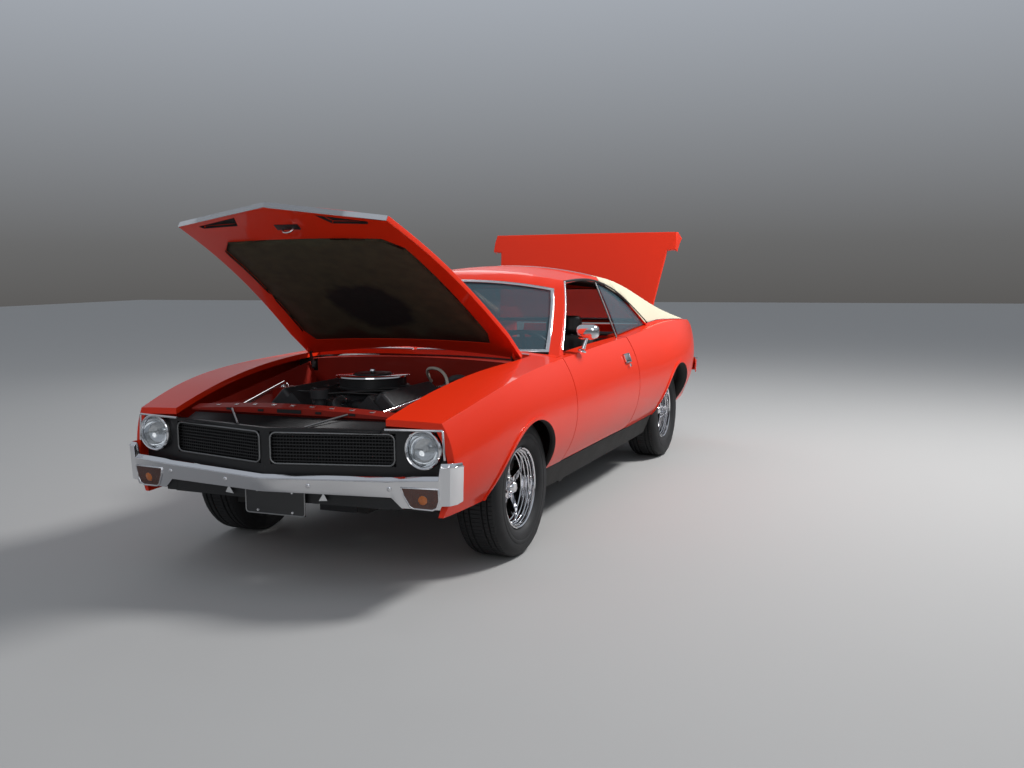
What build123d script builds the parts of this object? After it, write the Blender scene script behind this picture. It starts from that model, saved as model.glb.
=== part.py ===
from build123d import *
import math
import os

# A two-door fastback hardtop of the late 1960s, hood and trunk lid open.
# Lengths are in millimetres. The working frame has its origin on the ground
# under the front axle: X to the car's left, Y rearwards, Z up.

# Overall sizes
WHEELBASE = 2769.0
FRONT_OVERHANG = 919.0
REAR_OVERHANG = 1118.0
HALF_WIDTH = 913.0
ROOF_HEIGHT = 1356.0

# Wheels
TIRE_RADIUS = 325.0
TIRE_WIDTH = 224.0
TIRE_SHOULDER = 34.0
RIM_RADIUS = 193.0
RIM_BEAD_RADIUS = 178.0
RIM_WIDTH = 180.0
RIM_WALL = 6.0
SPOKE_COUNT = 5
SPOKE_WIDTH = 46.0
SPOKE_RECESS = 62.0
SPOKE_THICKNESS = 24.0
SPOKE_GROOVE = 16.0
SPOKE_GROOVE_DEPTH = 9.0
HUB_DEPTH = 10.0
HUB_RADIUS = 62.0
CAP_RADIUS = 30.0
CAP_LENGTH = 34.0
LUG_COUNT = 5
LUG_CIRCLE = 46.0
LUG_RADIUS = 9.0
LUG_LENGTH = 16.0
FRONT_WHEEL_X = 718.0
REAR_WHEEL_X = 690.0
DRUM_RADIUS = 132.0
DRUM_WIDTH = 66.0

# Body walls and gaps
FENDER_SKIN = 26.0
BODY_WALL = 70.0
TOP_SKIN = 26.0
ROOF_WALL = 42.0
SHUT_GAP = 7.0
GLASS_THICKNESS = 6.0
GLASS_INSET = 9.0
SEAT_CLEARANCE = 1.0

# Shut lines
HOOD_APEX_Y = -905.0
HOOD_FRONT_X = 530.0
HOOD_FRONT_Y = -785.0
HOOD_REAR_X = 640.0
HOOD_STRAIGHT_Y = 330.0
HOOD_REAR_Y = 545.0
HOOD_REAR_BOW = 60.0
COWL_HALF_WIDTH = 692.0
BEZEL_OUTER_X = 773.0
BEZEL_OUTER_Y = -742.0
DOOR_FRONT_Y = 598.0
DOOR_REAR_Y = 1788.0
DOOR_INNER_X = 728.0
PILLAR_FOOT_X = 764.0
PILLAR_FOOT_Y = 752.0
PILLAR_FOOT_Z = 862.0
SILL_TOP = 350.0
FENDER_BOTTOM = 345.0

# Wheel arches, as circles seen from the side
FRONT_ARCH_Y = -20.0
FRONT_ARCH_Z = 291.0
REAR_ARCH_OFFSET = -12.0
REAR_ARCH_Z = 322.0
FRONT_ARCH_RADIUS = 362.0
REAR_ARCH_RADIUS = 350.0
ARCH_LIP_WIDTH = 16.0
ARCH_LIP_HEIGHT = 7.0

# Cabin
WINDSHIELD_BASE_Z = 930.0
WINDSHIELD_TOP_Z = 1282.0
WINDSHIELD_BASE_Y = 640.0
WINDSHIELD_TOP_Y = 1098.0
WINDSHIELD_CHORD = 800.0
WINDSHIELD_BASE_SAG = 78.0
WINDSHIELD_TOP_SAG = 90.0
BACKLIGHT_TOP_Y = 2240.0
BACKLIGHT_TOP_Z = 1230.0
BACKLIGHT_BASE_Y = 2975.0
BACKLIGHT_BASE_Z = 960.0
BACKLIGHT_TOP_X = 530.0
BACKLIGHT_FRAME = 14.0
BACKLIGHT_BASE_X = 612.0
TUNNEL_REAR_X = 700.0
QUARTER_INNER_X = 668.0
ROOF_SEAM_Y = 2060.0
# outline of the glass behind the door, seen from the side
QUARTER_GLASS = [(1798, 930), (1798, 1245), (1828, 1244), (2166, 1150), (2446, 959),
                 (2436, 955)]

# Trunk
LID_FRONT_Y = 3040.0
LID_REAR_Y = 3726.0
LID_KICK = 136.0
LID_FRONT_X = 600.0
LID_WIDE_X = 675.0
LID_END_X = 742.0
LID_ANGLE = 70.0
LID_PIVOT_INSET = 9.0
LID_PIVOT_Z = 957.0
DECK_Z = 957.0

# Hood and its arms
HOOD_ANGLE = 36.2
ARM_PIVOT_Y = 426.9
ARM_PIVOT_Z = 818.4
HOOD_PIVOT_Y = 402.0
HOOD_PIVOT_Z = 904.3
HOOD_VIRTUAL_Y = 518.3
HOOD_VIRTUAL_Z = 1040.7
HOOD_LUG_Y = 505.0
HOOD_LUG_Z = 861.9
ARM_X = 606.0
ARM_THICKNESS = 6.0
ARM_PIN_RADIUS = 6.0
POCKET_DEPTH = 12.0
HOOD_PAD = [(400, -600), (470, -520), (540, 300), (515, 400)]
HOOD_SLOT = [(210, -818), (425, -770), (415, -752), (245, -752)]
LID_POCKET = [(40, 3100), (520, 3100), (580, 3520), (40, 3540)]

FRONT_AXLE_Z = TIRE_RADIUS
REAR_AXLE_Y = WHEELBASE
NOSE_Y = -FRONT_OVERHANG
TAIL_Y = WHEELBASE + REAR_OVERHANG
FRAME_SHIFT = -(NOSE_Y + TAIL_Y) / 2
DECK_END_Y = LID_FRONT_Y - LID_PIVOT_INSET - SHUT_GAP
REAR_ARCH_Y = REAR_AXLE_Y + REAR_ARCH_OFFSET

# Nose
LAMP_X = 690.0
LAMP_Z = 625.0
LAMP_RADIUS = 80.0
LAMP_RIM = 8.0
LAMP_BOW = 15.0
LAMP_FACE_Y = -756.0
LAMP_BUCKET_DEPTH = 74.0
NOSE_PANEL_TOP_Z = 700.0
NOSE_PANEL_LOW_Z = 500.0
NOSE_PANEL_SETBACK = 30.0
NOSE_PANEL_THICKNESS = 22.0
GRILLE_INNER_X = 24.0
GRILLE_OUTER_X = 562.0
GRILLE_LOW_Z = 545.0
GRILLE_TOP_Z = 684.0
SLAT_COUNT = 9
SLAT_HEIGHT = 5.0
SLAT_DEPTH = 12.0
# stations of the bumper's left half: x, y, inward x, inward y, depth, low z, top z
BUMPER_STATIONS = [
    (0, NOSE_Y, 0.0, 1.0, 32, 432, 507),
    (560, -818, 0.16, 0.98, 32, 426, 512),
    (604, -810, 0.12, 0.99, 32, 384, 515),
    (778, -792, -0.2, 0.98, 26, 386, 524),
    (786, -790, -0.3, 0.95, 22, 402, 577),
    (822, -776, -0.7, 0.7, 12, 404, 579),
    (840, -738, -1.0, 0.1, 9, 406, 577),
    (843, -690, -1.0, 0.0, 9, 410, 572),
]
BUMPER_LEDGE = 18.0
BUMPER_LEAN = 0.56
PARKING_LAMP = [(626, 436), (632, 466), (762, 466), (758, 414), (744, 397), (646, 397)]
PARKING_LAMP_INSET = 4.0
VALANCE_LOW_Z = 385.0
VALANCE_TOP_Z = 424.0
VALANCE_SHEET = 6.0
PLATE_HALF_WIDTH = 152.0
PLATE_LOW_Z = 313.0
PLATE_TOP_Z = 431.0
PLATE_Y = -812.0
PLATE_THICKNESS = 4.0
PLATE_HOLE_SPACING = 178.0
PLATE_HOLE_RADIUS = 3.5
PLATE_HOLE_Z = 414.0

# Engine bay
APRON_X = 410.0
APRON_SHEET = 8.0
APRON_LOW_Z = 352.0
SHELF_Z = 690.0
SHELF_RISE = 26.0
ARM_HOLE_Z = (452.0, 530.0)
RADIATOR_Y = -640.0
RADIATOR_TOP_Z = 776.0
RADIATOR_HALF = 330.0
FIREWALL_Y = 450.0
FIREWALL_TOP_Z = 840.0
ENGINE_FRONT_Y = -380.0
ENGINE_LENGTH = 560.0
# right half of the cylinder block seen from the front: x, z
BLOCK_OUTLINE = [(110, 300), (150, 430), (250, 610), (120, 705)]
PAN_HALF = 100.0
PAN_END_Y = -70.0
PAN_LOW_Z = 215.0
GEARBOX_RADIUS = 118.0
TAIL_SHAFT_RADIUS = 56.0
BANK_ANGLE = 45.0
BANK_X = 236.0
BANK_Z = 690.0
HEAD_WIDTH = 170.0
HEAD_HEIGHT = 90.0
COVER_WIDTH = 120.0
COVER_HEIGHT = 58.0
COVER_CORNER = 22.0
COVER_EDGE = 14.0
CYLINDERS_A_BANK = 4
CYLINDER_PITCH = 118.0
MANIFOLD_RADIUS = 22.0
INTAKE_TOP_Z = 742.0
INTAKE_HALF = 70.0
RUNNER_Z = 716.0
RUNNER_REACH = 190.0
RUNNER_RADIUS = 21.0
THROAT_RADIUS = 62.0
DISTRIBUTOR_X = 62.0
DISTRIBUTOR_Z = 800.0
DISTRIBUTOR_RADIUS = 44.0
FAN_Z = 570.0
FAN_RADIUS = 172.0
FAN_BLADES = 6
FAN_BLADE_WIDTH = 74.0
FAN_PITCH = 28.0
# x, z and radius of each pulley: crank, water pump, alternator, steering pump
PULLEYS = [(0, 430, 88), (0, FAN_Z, 66), (182, 640, 50), (-178, 560, 58)]
HOSE_RADIUS = 19.0
HOSE_START = (62.0, -330.0, 754.0)
HOSE_ROUTE = [(62, -332, 754), (62, -425, 754), (215, -505, 664), (215, -584, 652)]
HOSE_BENDS = [50, 36]
HEATER_RADIUS = 9.0
HEATER_ROUTE = [(120, 444, 760), (120, 360, 800), (210, 260, 842), (330, 190, 830),
                (372, 120, 742)]
HEATER_BENDS = [70, 70, 70]
AIR_CLEANER_Y = 40.0
AIR_CLEANER_Z = 772.0
# radius, low and top height of the air cleaner's pan, drum, lid, dome and nut
AIR_CLEANER_RINGS = [(180, 0, 8), (166, 7, 56), (182, 55, 62), (92, 61, 70), (12, 69, 82)]
BAY_CLEARANCE = 8.0
TOWER_X = 462.0
TOWER_Y = -60.0
TOWER_RADIUS = 60.0
TOWER_TOP_Z = 768.0
TRAY_Y = -585.0
TRAY_LENGTH = 200.0
TRAY_Z = 548.0
BATTERY_INNER_X = 252.0
BRACE_X = 355.0
BRACE_Z = 722.0
BRACE_LIFT = 20.0
BRACE_FOOT = 22.0
BRACE_RADIUS = 8.0
BATTERY_HEIGHT = 176.0
BOTTLE_INNER_X = 330.0
BOTTLE_HEIGHT = 165.0
TRAY_MARGIN = 8.0
BOOSTER_X = 300.0
BOOSTER_Z = 700.0
BOOSTER_RADIUS = 105.0
BOOSTER_LENGTH = 120.0
MASTER_LENGTH = 152.0
SUPPORT_SHEET = 10.0
SUPPORT_DEPTH = 46.0
SUPPORT_LOW_Z = 340.0
SUPPORT_LIP = 16.0
CORE_LOW_Z = 380.0
CORE_DEPTH = 50.0
SHROUD_LENGTH = 46.0
SHROUD_GAP = 11.0
SHROUD_WALL = 5.0

# Cowl louvres
LOUVRE_HALF_COUNT = 23
LOUVRE_PITCH = 24.0
LOUVRE_WIDTH = 11.0
LOUVRE_LENGTH = 44.0
LOUVRE_SETBACK = 24.0

# Floor and running gear
FLOOR_Z = 240.0
FLOOR_FRONT_Y = 600.0
FLOOR_SHEET = 10.0
KICK_UP_Y = 2110.0
SEAT_PAN_Z = 352.0
TRUNK_FRONT_Y = 2500.0
TRUNK_FLOOR_Z = 430.0
TRUNK_SHEET = 12.0
TRUNK_END_Y = 3748.0
JACK_PAD_Z = 208.0
RAIL_LOW_Z = 192.0
RAIL_END_Y = 1000.0
REAR_BUMPER_Z = 520.0
REAR_BUMPER_HEIGHT = 104.0
REAR_BUMPER_END_Y = 3560.0
REAR_BUMPER_BOW = 130.0
REAR_BUMPER_DEPTH = 30.0
REAR_BUMPER_SHEET = 12.0
REAR_BUMPER_X = 802.0
REAR_WING_X = 838.0
TAIL_LAMP_INNER_X = 330.0
TAIL_LAMP_OUTER_X = 660.0
TAIL_LAMP_LOW_Z = 716.0
TAIL_LAMP_TOP_Z = 812.0
TAIL_LAMP_DEPTH = 14.0
TAIL_SHEET = 30.0
TAIL_PANEL_LOW_Z = 430.0
TAIL_PANEL_TOP_Z = 878.0
PIPE_RADIUS = 26.0
PIPE_Z = 200.0
PIPE_START = (304.0, 60.0, 574.0)
PIPE_BEND = (236.0, 60.0, 400.0)
PIPE_ROUTE = [
    PIPE_START, PIPE_BEND, (230, 420, PIPE_Z), (230, 2450, PIPE_Z), (400, 2620, 400),
    (400, 2930, 400), (400, 3060, 300), (400, 3770, 300),
]
MUFFLER_START = (230, 1500, PIPE_Z - 18)
MUFFLER_END = (230, 2000, PIPE_Z - 18)
MUFFLER_RADIUS = 54.0
TANK_HALF_WIDTH = 350.0
TANK_FRONT_Y = 3080.0
TANK_END_Y = 3600.0
TANK_LOW_Z = 262.0
TANK_CORNER = 40.0
AXLE_TUBE_RADIUS = 40.0
AXLE_TUBE_END = 78.0
DIFFERENTIAL_RADIUS = 98.0
SHAFT_RADIUS = 36.0
SHAFT_START = (0, 760, 350)
SPRING_X = (455.0, 515.0)
# offset from the axle along Y, low and top height of one leaf spring
SPRING_LEAF = [(-600, 318, 332), (-300, 262, 284), (0, 250, 290), (300, 268, 288),
               (650, 346, 360)]
CROSSMEMBER = (290.0, -60.0, 70.0, 210.0, 300.0)
SPRING_TOWER = (345.0, 385.0, -70.0, 70.0, 640.0)
LOWER_ARM_START = (280, 0, 240)
UPPER_ARM_START = (350, 0, 500)
KINGPIN_X = 678.0
KNUCKLE_X = 634.0
BALL_REACH = 150.0
BALL_RADIUS = 14.0
UPRIGHT_HALF = 34.0
SPINDLE_RADIUS = 26.0
STEERING_ARM = 150.0
WHEELHOUSE_X = 536.0
WHEELHOUSE_WIDTH = 290.0
WHEELHOUSE_GAP = 6.0
WHEELHOUSE_SHEET = 8.0
AXLE_HOLE_RADIUS = 56.0

# Cabin fittings
GLASS_FOOT_Z = 905.0
SEAT_Y = 1230.0
SEAT_X = 375.0
SEAT_HALF = 225.0
SEAT_LENGTH = 480.0
SEAT_TOP = 190.0
SEAT_BACK = (440.0, 120.0, 520.0)
SEAT_RAKE = 16.0
REAR_SEAT_HALF = 516.0
REAR_SEAT_Z = 468.0
REAR_SEAT_TOP_Z = 840.0
DASH_HALF = 632.0
DASH_PROFILE = [(640, 850), (800, 862), (905, 846), (925, 790), (880, 690), (740, 660),
                (650, 700)]
COLUMN_LENGTH = 520.0
COLUMN_GAP = 40.0
COLUMN_RADIUS = 26.0
WHEEL_CENTRE = (365.0, 1180.0, 795.0)
WHEEL_RADIUS = 195.0
COLUMN_AXIS = Vector(0, 1, 0.28).normalized()
MIRROR_X = 862.0

# Lower body: station along Y, then half widths and heights of shoulder,
# widest side and sill edge, then the height of the middle of the top
BODY_SECTIONS = [
    # y, shoulder x, shoulder z, side x, side z, sill x, sill z, crown z
    (NOSE_Y - 41, 735, 690, 772, 560, 750, 395, 722),
    (-740, 772, 736, 818, 570, 786, 378, 780),
    (-380, 826, 815, 880, 600, 798, 362, 846),
    (0, 832, 862, 900, 622, 794, 352, 890),
    (600, 808, 886, 888, 605, 790, 342, 928),
    (1500, 796, 910, 882, 605, 788, 340, 945),
    (REAR_AXLE_Y - 400, 788, 942, 896, 625, 788, 345, 966),
    (REAR_AXLE_Y, 782, 955, 904, 645, 786, 352, 968),
    (REAR_AXLE_Y + 500, 774, 946, 870, 645, 778, 385, 951),
    (REAR_AXLE_Y + 880, 744, 926, 795, 650, 742, 425, 930),
    (TAIL_Y + 72, 690, 900, 735, 650, 700, 450, 905),
]
ROCKER_TUCK = 52.0
ROCKER_DROP = 125.0

# Cabin: station along Y, half width at its foot, rail and crown
CABIN_FOOT_Z = 890.0
CABIN_SECTIONS = [
    # y, foot x, rail x, rail z, crown z
    (430, 764, 640, 1140, 1172),
    (1100, 778, 614, 1273, 1324),
    (1500, 772, 600, 1288, ROOF_HEIGHT),
    (1950, 758, 596, 1275, ROOF_HEIGHT - 11),
    (REAR_AXLE_Y - 369, 755, 622, 1194, 1236),
    (REAR_AXLE_Y + 81, 757, 655, 1080, 1094),
    (REAR_AXLE_Y + 391, 752, 692, 1006, 1016),
    (REAR_AXLE_Y + 871, 738, 716, 926, 932),
]
CABIN_BULGE = 9.0

# Opening of the side windows, seen from the side
SIDE_WINDOW = [
    (700.0, 860.0),
    (740.0, 921.0),
    (1152.0, 1261.0),
    (1480.0, 1275.0),
    (1825.0, 1249.0),
    (2170.0, 1154.0),
    (2472.0, 948.0),
    (2472.0, 860.0),
]


def block(x0, x1, y0, y1, z0, z1):
    """A box between two corners."""
    size = Box(x1 - x0, y1 - y0, z1 - z0)
    return Pos((x0 + x1) / 2, (y0 + y1) / 2, (z0 + z1) / 2) * size


def prism_x(points, x0, x1):
    """A side-view outline of (y, z) points, drawn out across the car."""
    face = make_face(Polyline(*[(x0, y, z) for y, z in points], close=True))
    return extrude(face, x1 - x0, dir=(1, 0, 0))


def prism_y(points, y0, y1):
    """A front-view outline of (x, z) points, drawn out along the car."""
    face = make_face(Polyline(*[(x, y0, z) for x, z in points], close=True))
    return extrude(face, y1 - y0, dir=(0, 1, 0))


def prism_z(points, z0, z1):
    """A plan outline of (x, y) points, drawn upwards."""
    face = make_face(Polyline(*[(x, y, z0) for x, y in points], close=True))
    return extrude(face, z1 - z0, dir=(0, 0, 1))


def rod(start, end, radius):
    """A round bar between two points."""
    axis = Vector(*end) - Vector(*start)
    plane = Plane(origin=start, z_dir=axis)
    return plane * Pos(0, 0, axis.length / 2) * Cylinder(radius, axis.length)


def disc_x(x0, x1, y, z, radius):
    """A round plate across the car, between two X places."""
    return rod((x0, y, z), (x1, y, z), radius)


def turned_x(profile, x, y, z):
    """A profile of (x, radius) points turned about a line across the car."""
    points = [(x + dx, y, z + r) for dx, r in profile]
    face = make_face(Polyline(*points, close=True))
    return revolve(face, Axis((x, y, z), (1, 0, 0)), 360)


def mirrored(shape):
    """The same shape on the other side of the car."""
    return mirror(shape, about=Plane.YZ)


def both_sides(shape):
    """A shape and its mirror image."""
    return shape + mirrored(shape)


def turned_about_x(shape, y, z, degrees):
    """A shape turned about a line across the car."""
    return Pos(0, y, z) * Rot(degrees, 0, 0) * Pos(0, -y, -z) * shape


def section_wire(y, points):
    """A closed outline at one station: a list of (x, z), arcs as triples."""
    edges = []
    for piece in points:
        ends = [(x, y, z) for x, z in piece]
        if len(ends) == 2:
            edges.append(Edge.make_line(ends[0], ends[1]))
        else:
            edges.append(Edge.make_three_point_arc(*ends))
    return Wire(edges)


def body_wire(row, side, top, drop):
    """One cross-section of the lower body, set in by side and top."""
    y, shoulder_x, shoulder_z, side_x, side_z, sill_x, sill_z, crown_z = row
    base = (sill_x - side - ROCKER_TUCK, sill_z - ROCKER_DROP - drop)
    sill = (sill_x - side, sill_z)
    flank = (side_x - side, side_z)
    shoulder = (shoulder_x - side, shoulder_z - top)
    crown = (0, crown_z - top)
    left = [(-x, z) for x, z in (base, sill, flank, shoulder)]
    return section_wire(y, [
        (left[0], base),
        (base, sill),
        (sill, flank, shoulder),
        (shoulder, crown, left[3]),
        (left[3], left[2], left[1]),
        (left[1], left[0]),
    ])


def body_form(side=0.0, top=0.0, drop=0.0):
    """The closed form of the lower body."""
    return Solid.make_loft([body_wire(row, side, top, drop) for row in BODY_SECTIONS])


def cabin_wire(row, wall):
    """One cross-section of the cabin, set in by a wall."""
    y, foot_x, rail_x, rail_z, crown_z = row
    foot = (foot_x - wall, CABIN_FOOT_Z - wall)
    rail = (rail_x - wall * 0.8, rail_z - wall)
    middle_x = (foot[0] + rail[0]) / 2 + CABIN_BULGE
    middle = (middle_x, (foot[1] + rail[1]) / 2 + CABIN_BULGE / 2)
    crown = (0, crown_z - wall)
    left = [(-x, z) for x, z in (foot, middle, rail)]
    return section_wire(y, [
        (left[0], foot),
        (foot, middle, rail),
        (rail, crown, left[2]),
        (left[2], left[1], left[0]),
    ])


def cabin_form(wall=0.0):
    """The closed form of roof, pillars and sail panels."""
    return Solid.make_loft([cabin_wire(row, wall) for row in CABIN_SECTIONS])


def windshield_wire(z, inset):
    """The glass line seen from above at one height, closed far behind."""
    share = (z - WINDSHIELD_BASE_Z) / (WINDSHIELD_TOP_Z - WINDSHIELD_BASE_Z)
    middle = WINDSHIELD_BASE_Y + share * (WINDSHIELD_TOP_Y - WINDSHIELD_BASE_Y) + inset
    sag = WINDSHIELD_BASE_SAG + share * (WINDSHIELD_TOP_SAG - WINDSHIELD_BASE_SAG)
    chord = WINDSHIELD_CHORD
    far = TAIL_Y + 400
    edges = [
        Edge.make_three_point_arc((-chord, middle + sag, z), (0, middle, z),
                                  (chord, middle + sag, z)),
        Edge.make_line((chord, middle + sag, z), (chord, far, z)),
        Edge.make_line((chord, far, z), (-chord, far, z)),
        Edge.make_line((-chord, far, z), (-chord, middle + sag, z)),
    ]
    return Wire(edges)


def behind_windshield(inset=0.0):
    """Everything behind the windshield's face."""
    low, high = 830.0, ROOF_HEIGHT + 60
    return Solid.make_loft([windshield_wire(low, inset), windshield_wire(high, inset)],
                           ruled=True)


def nose_block(inset=0.0):
    """The plan of the nose: all of the body lies behind it."""
    front = [
        (0, HOOD_APEX_Y + inset),
        (HOOD_FRONT_X, HOOD_FRONT_Y + inset),
        (BEZEL_OUTER_X, BEZEL_OUTER_Y + inset),
        (HALF_WIDTH + 60, BEZEL_OUTER_Y + 50 + inset),
        (HALF_WIDTH + 60, TAIL_Y + 300),
    ]
    back = [(-x, y) for x, y in reversed(front[1:])]
    return prism_z(front + back, 0, ROOF_HEIGHT + 100)


def tail_block(inset=0.0):
    """The leaning rear face: all of the body lies ahead of it."""
    side = prism_x([
        (NOSE_Y - 100, 0),
        (NOSE_Y - 100, 1500),
        (3716 - inset, 1500),
        (3732 - inset, 915),
        (3826 - inset, 655),
        (3790 - inset, 380),
        (3790 - inset, 0),
    ], -1000, 1000)
    corner_y = 3640 - inset
    middle_y = 3850 - inset
    edges = [
        Edge.make_line((-1000, NOSE_Y - 100, 0), (-1000, corner_y, 0)),
        Edge.make_three_point_arc((-1000, corner_y, 0), (0, middle_y, 0),
                                  (1000, corner_y, 0)),
        Edge.make_line((1000, corner_y, 0), (1000, NOSE_Y - 100, 0)),
        Edge.make_line((1000, NOSE_Y - 100, 0), (-1000, NOSE_Y - 100, 0)),
    ]
    plan = extrude(Face(Wire(edges)), 1500, dir=(0, 0, 1))
    return side & plan


def arch_cut(y, z, radius, inner_x):
    """The round opening of one wheel arch on the left side."""
    return disc_x(inner_x, HALF_WIDTH + 80, y, z, radius)


def arch_lip(y, z, radius, lip_shell):
    """The raised rim round one wheel arch on the left side."""
    reach = HALF_WIDTH + 80
    ring = disc_x(500, reach, y, z, radius + ARCH_LIP_WIDTH) - disc_x(490, reach, y, z, radius)
    return lip_shell & ring & block(500, reach, NOSE_Y, TAIL_Y, FENDER_BOTTOM, ROOF_HEIGHT)


def save(name, shape):
    """Move a piece to the part's frame and write it."""
    placed = Pos(0, FRAME_SHIFT, 0) * shape
    export_step(placed, os.path.join("parts", name + ".step"))


# Lower body panels

def make_fender(skin, lip_shell):
    """Front fender of the left side, with its arch and the arch's lip."""
    plan = prism_z([
        (HOOD_FRONT_X + SHUT_GAP, NOSE_Y - 80),
        (HOOD_FRONT_X + SHUT_GAP, HOOD_FRONT_Y),
        (HOOD_REAR_X + SHUT_GAP, HOOD_STRAIGHT_Y),
        (HOOD_REAR_X + SHUT_GAP, HOOD_REAR_Y + SHUT_GAP),
        (COWL_HALF_WIDTH, HOOD_REAR_Y + SHUT_GAP),
        (COWL_HALF_WIDTH, DOOR_FRONT_Y - SHUT_GAP),
        (HALF_WIDTH + 50, DOOR_FRONT_Y - SHUT_GAP),
        (HALF_WIDTH + 50, NOSE_Y - 80),
    ], FENDER_BOTTOM, ROOF_HEIGHT)
    lip = arch_lip(FRONT_ARCH_Y, FRONT_ARCH_Z, FRONT_ARCH_RADIUS, lip_shell)
    fender = (skin & plan & nose_block()) + lip
    return fender - arch_cut(FRONT_ARCH_Y, FRONT_ARCH_Z, FRONT_ARCH_RADIUS, 300)


def make_door(wall):
    """Left door, as thick as the whole door, with its window slot."""
    region = prism_z([
        (DOOR_INNER_X, DOOR_FRONT_Y), (HALF_WIDTH, DOOR_FRONT_Y), (HALF_WIDTH, DOOR_REAR_Y),
        (HALF_WIDTH - 25, DOOR_REAR_Y), (DOOR_INNER_X, DOOR_REAR_Y - 12),
    ], SILL_TOP, ROOF_HEIGHT)
    pillar_notch = block(0, PILLAR_FOOT_X + SHUT_GAP, 0, PILLAR_FOOT_Y + SHUT_GAP,
                         PILLAR_FOOT_Z - SHUT_GAP, ROOF_HEIGHT)
    return (wall & region) - pillar_notch


def make_quarter(wall, upper, lip_shell):
    """Left quarter panel with its sail panel and arch lip."""
    plan = prism_z([
        (QUARTER_INNER_X, DOOR_REAR_Y + SHUT_GAP),
        (HALF_WIDTH + 50, DOOR_REAR_Y + SHUT_GAP),
        (HALF_WIDTH + 50, TAIL_Y + 100),
        (LID_END_X + SHUT_GAP, TAIL_Y + 100),
        (LID_END_X + SHUT_GAP, LID_REAR_Y - LID_KICK),
        (LID_WIDE_X + SHUT_GAP, LID_REAR_Y - LID_KICK - SHUT_GAP),
        (QUARTER_INNER_X, LID_FRONT_Y),
    ], FENDER_BOTTOM, ROOF_HEIGHT)
    lower = wall & plan & tail_block()
    sail = upper & block(0, HALF_WIDTH, ROOF_SEAM_Y, TAIL_Y, CABIN_FOOT_Z, ROOF_HEIGHT)
    sail = sail & sail_region()
    quarter = lower + sail + arch_lip(REAR_ARCH_Y, REAR_ARCH_Z, REAR_ARCH_RADIUS, lip_shell)
    return quarter - arch_cut(REAR_ARCH_Y, REAR_ARCH_Z, REAR_ARCH_RADIUS, 500)


def sail_region():
    """The plan of the left sail panel beside the rear window."""
    return prism_z([
        (BACKLIGHT_TOP_X - 60, ROOF_SEAM_Y),
        (HALF_WIDTH, ROOF_SEAM_Y),
        (HALF_WIDTH, LID_REAR_Y - LID_KICK - SHUT_GAP),
        (TUNNEL_REAR_X, LID_REAR_Y - LID_KICK - SHUT_GAP),
        (BACKLIGHT_BASE_X, BACKLIGHT_BASE_Y),
        (BACKLIGHT_TOP_X, BACKLIGHT_TOP_Y),
        (BACKLIGHT_TOP_X - 60, BACKLIGHT_TOP_Y),
    ], 0, ROOF_HEIGHT + 50)


def sail_gap():
    """The plan of the space between the sail panels."""
    right = [
        (BACKLIGHT_TOP_X, BACKLIGHT_TOP_Y), (BACKLIGHT_BASE_X, BACKLIGHT_BASE_Y),
        (TUNNEL_REAR_X, TAIL_Y),
    ]
    left = [(-x, y) for x, y in reversed(right)]
    return prism_z(right + left, 0, ROOF_HEIGHT + 100)


def backlight_slab(depth_low, depth_high):
    """A sheet parallel to the rear window and the panel behind it."""
    return prism_x([
        (BACKLIGHT_TOP_Y - 60, BACKLIGHT_TOP_Z + 25 - depth_low),
        (BACKLIGHT_BASE_Y, BACKLIGHT_BASE_Z - depth_low),
        (DECK_END_Y, DECK_Z - depth_low),
        (DECK_END_Y, DECK_Z - depth_high),
        (BACKLIGHT_BASE_Y, BACKLIGHT_BASE_Z - depth_high),
        (BACKLIGHT_TOP_Y - 60, BACKLIGHT_TOP_Z + 25 - depth_high),
    ], -HALF_WIDTH, HALF_WIDTH)


def backlight_plan(grow, z0, z1):
    """The rear window's outline seen from above, grown by a margin."""
    right = [
        (BACKLIGHT_TOP_X + grow, BACKLIGHT_TOP_Y - grow),
        (BACKLIGHT_BASE_X + grow, BACKLIGHT_BASE_Y + grow),
    ]
    left = [(-x, y) for x, y in reversed(right)]
    return prism_z(right + left, z0, z1)


def make_upper(outer, inner):
    """Roof, pillars and sail panels in one, with the windows cut."""
    shell = (outer & behind_windshield()) - inner
    tunnel = prism_x([
        (BACKLIGHT_TOP_Y, BACKLIGHT_TOP_Z),
        (BACKLIGHT_BASE_Y, BACKLIGHT_BASE_Z),
        (TAIL_Y, BACKLIGHT_BASE_Z - 30),
        (TAIL_Y, ROOF_HEIGHT + 60),
        (BACKLIGHT_TOP_Y, ROOF_HEIGHT + 60),
    ], -HALF_WIDTH, HALF_WIDTH)
    windows = prism_x(SIDE_WINDOW, -HALF_WIDTH, HALF_WIDTH)
    return shell - (tunnel & sail_gap()) - windows


def make_backlight_frame(outer):
    """The panel round the rear window, between the sail panels."""
    frame = backlight_slab(0, TOP_SKIN) & sail_gap() & outer
    return frame - backlight_plan(-BACKLIGHT_FRAME, 800, ROOF_HEIGHT)


def make_roof(upper):
    """Roof panel with windshield pillars."""
    keep = block(-HALF_WIDTH, HALF_WIDTH, 400, BACKLIGHT_TOP_Y, 860, ROOF_HEIGHT + 20)
    sides = both_sides(sail_region())
    return (upper & keep) - sides


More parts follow.
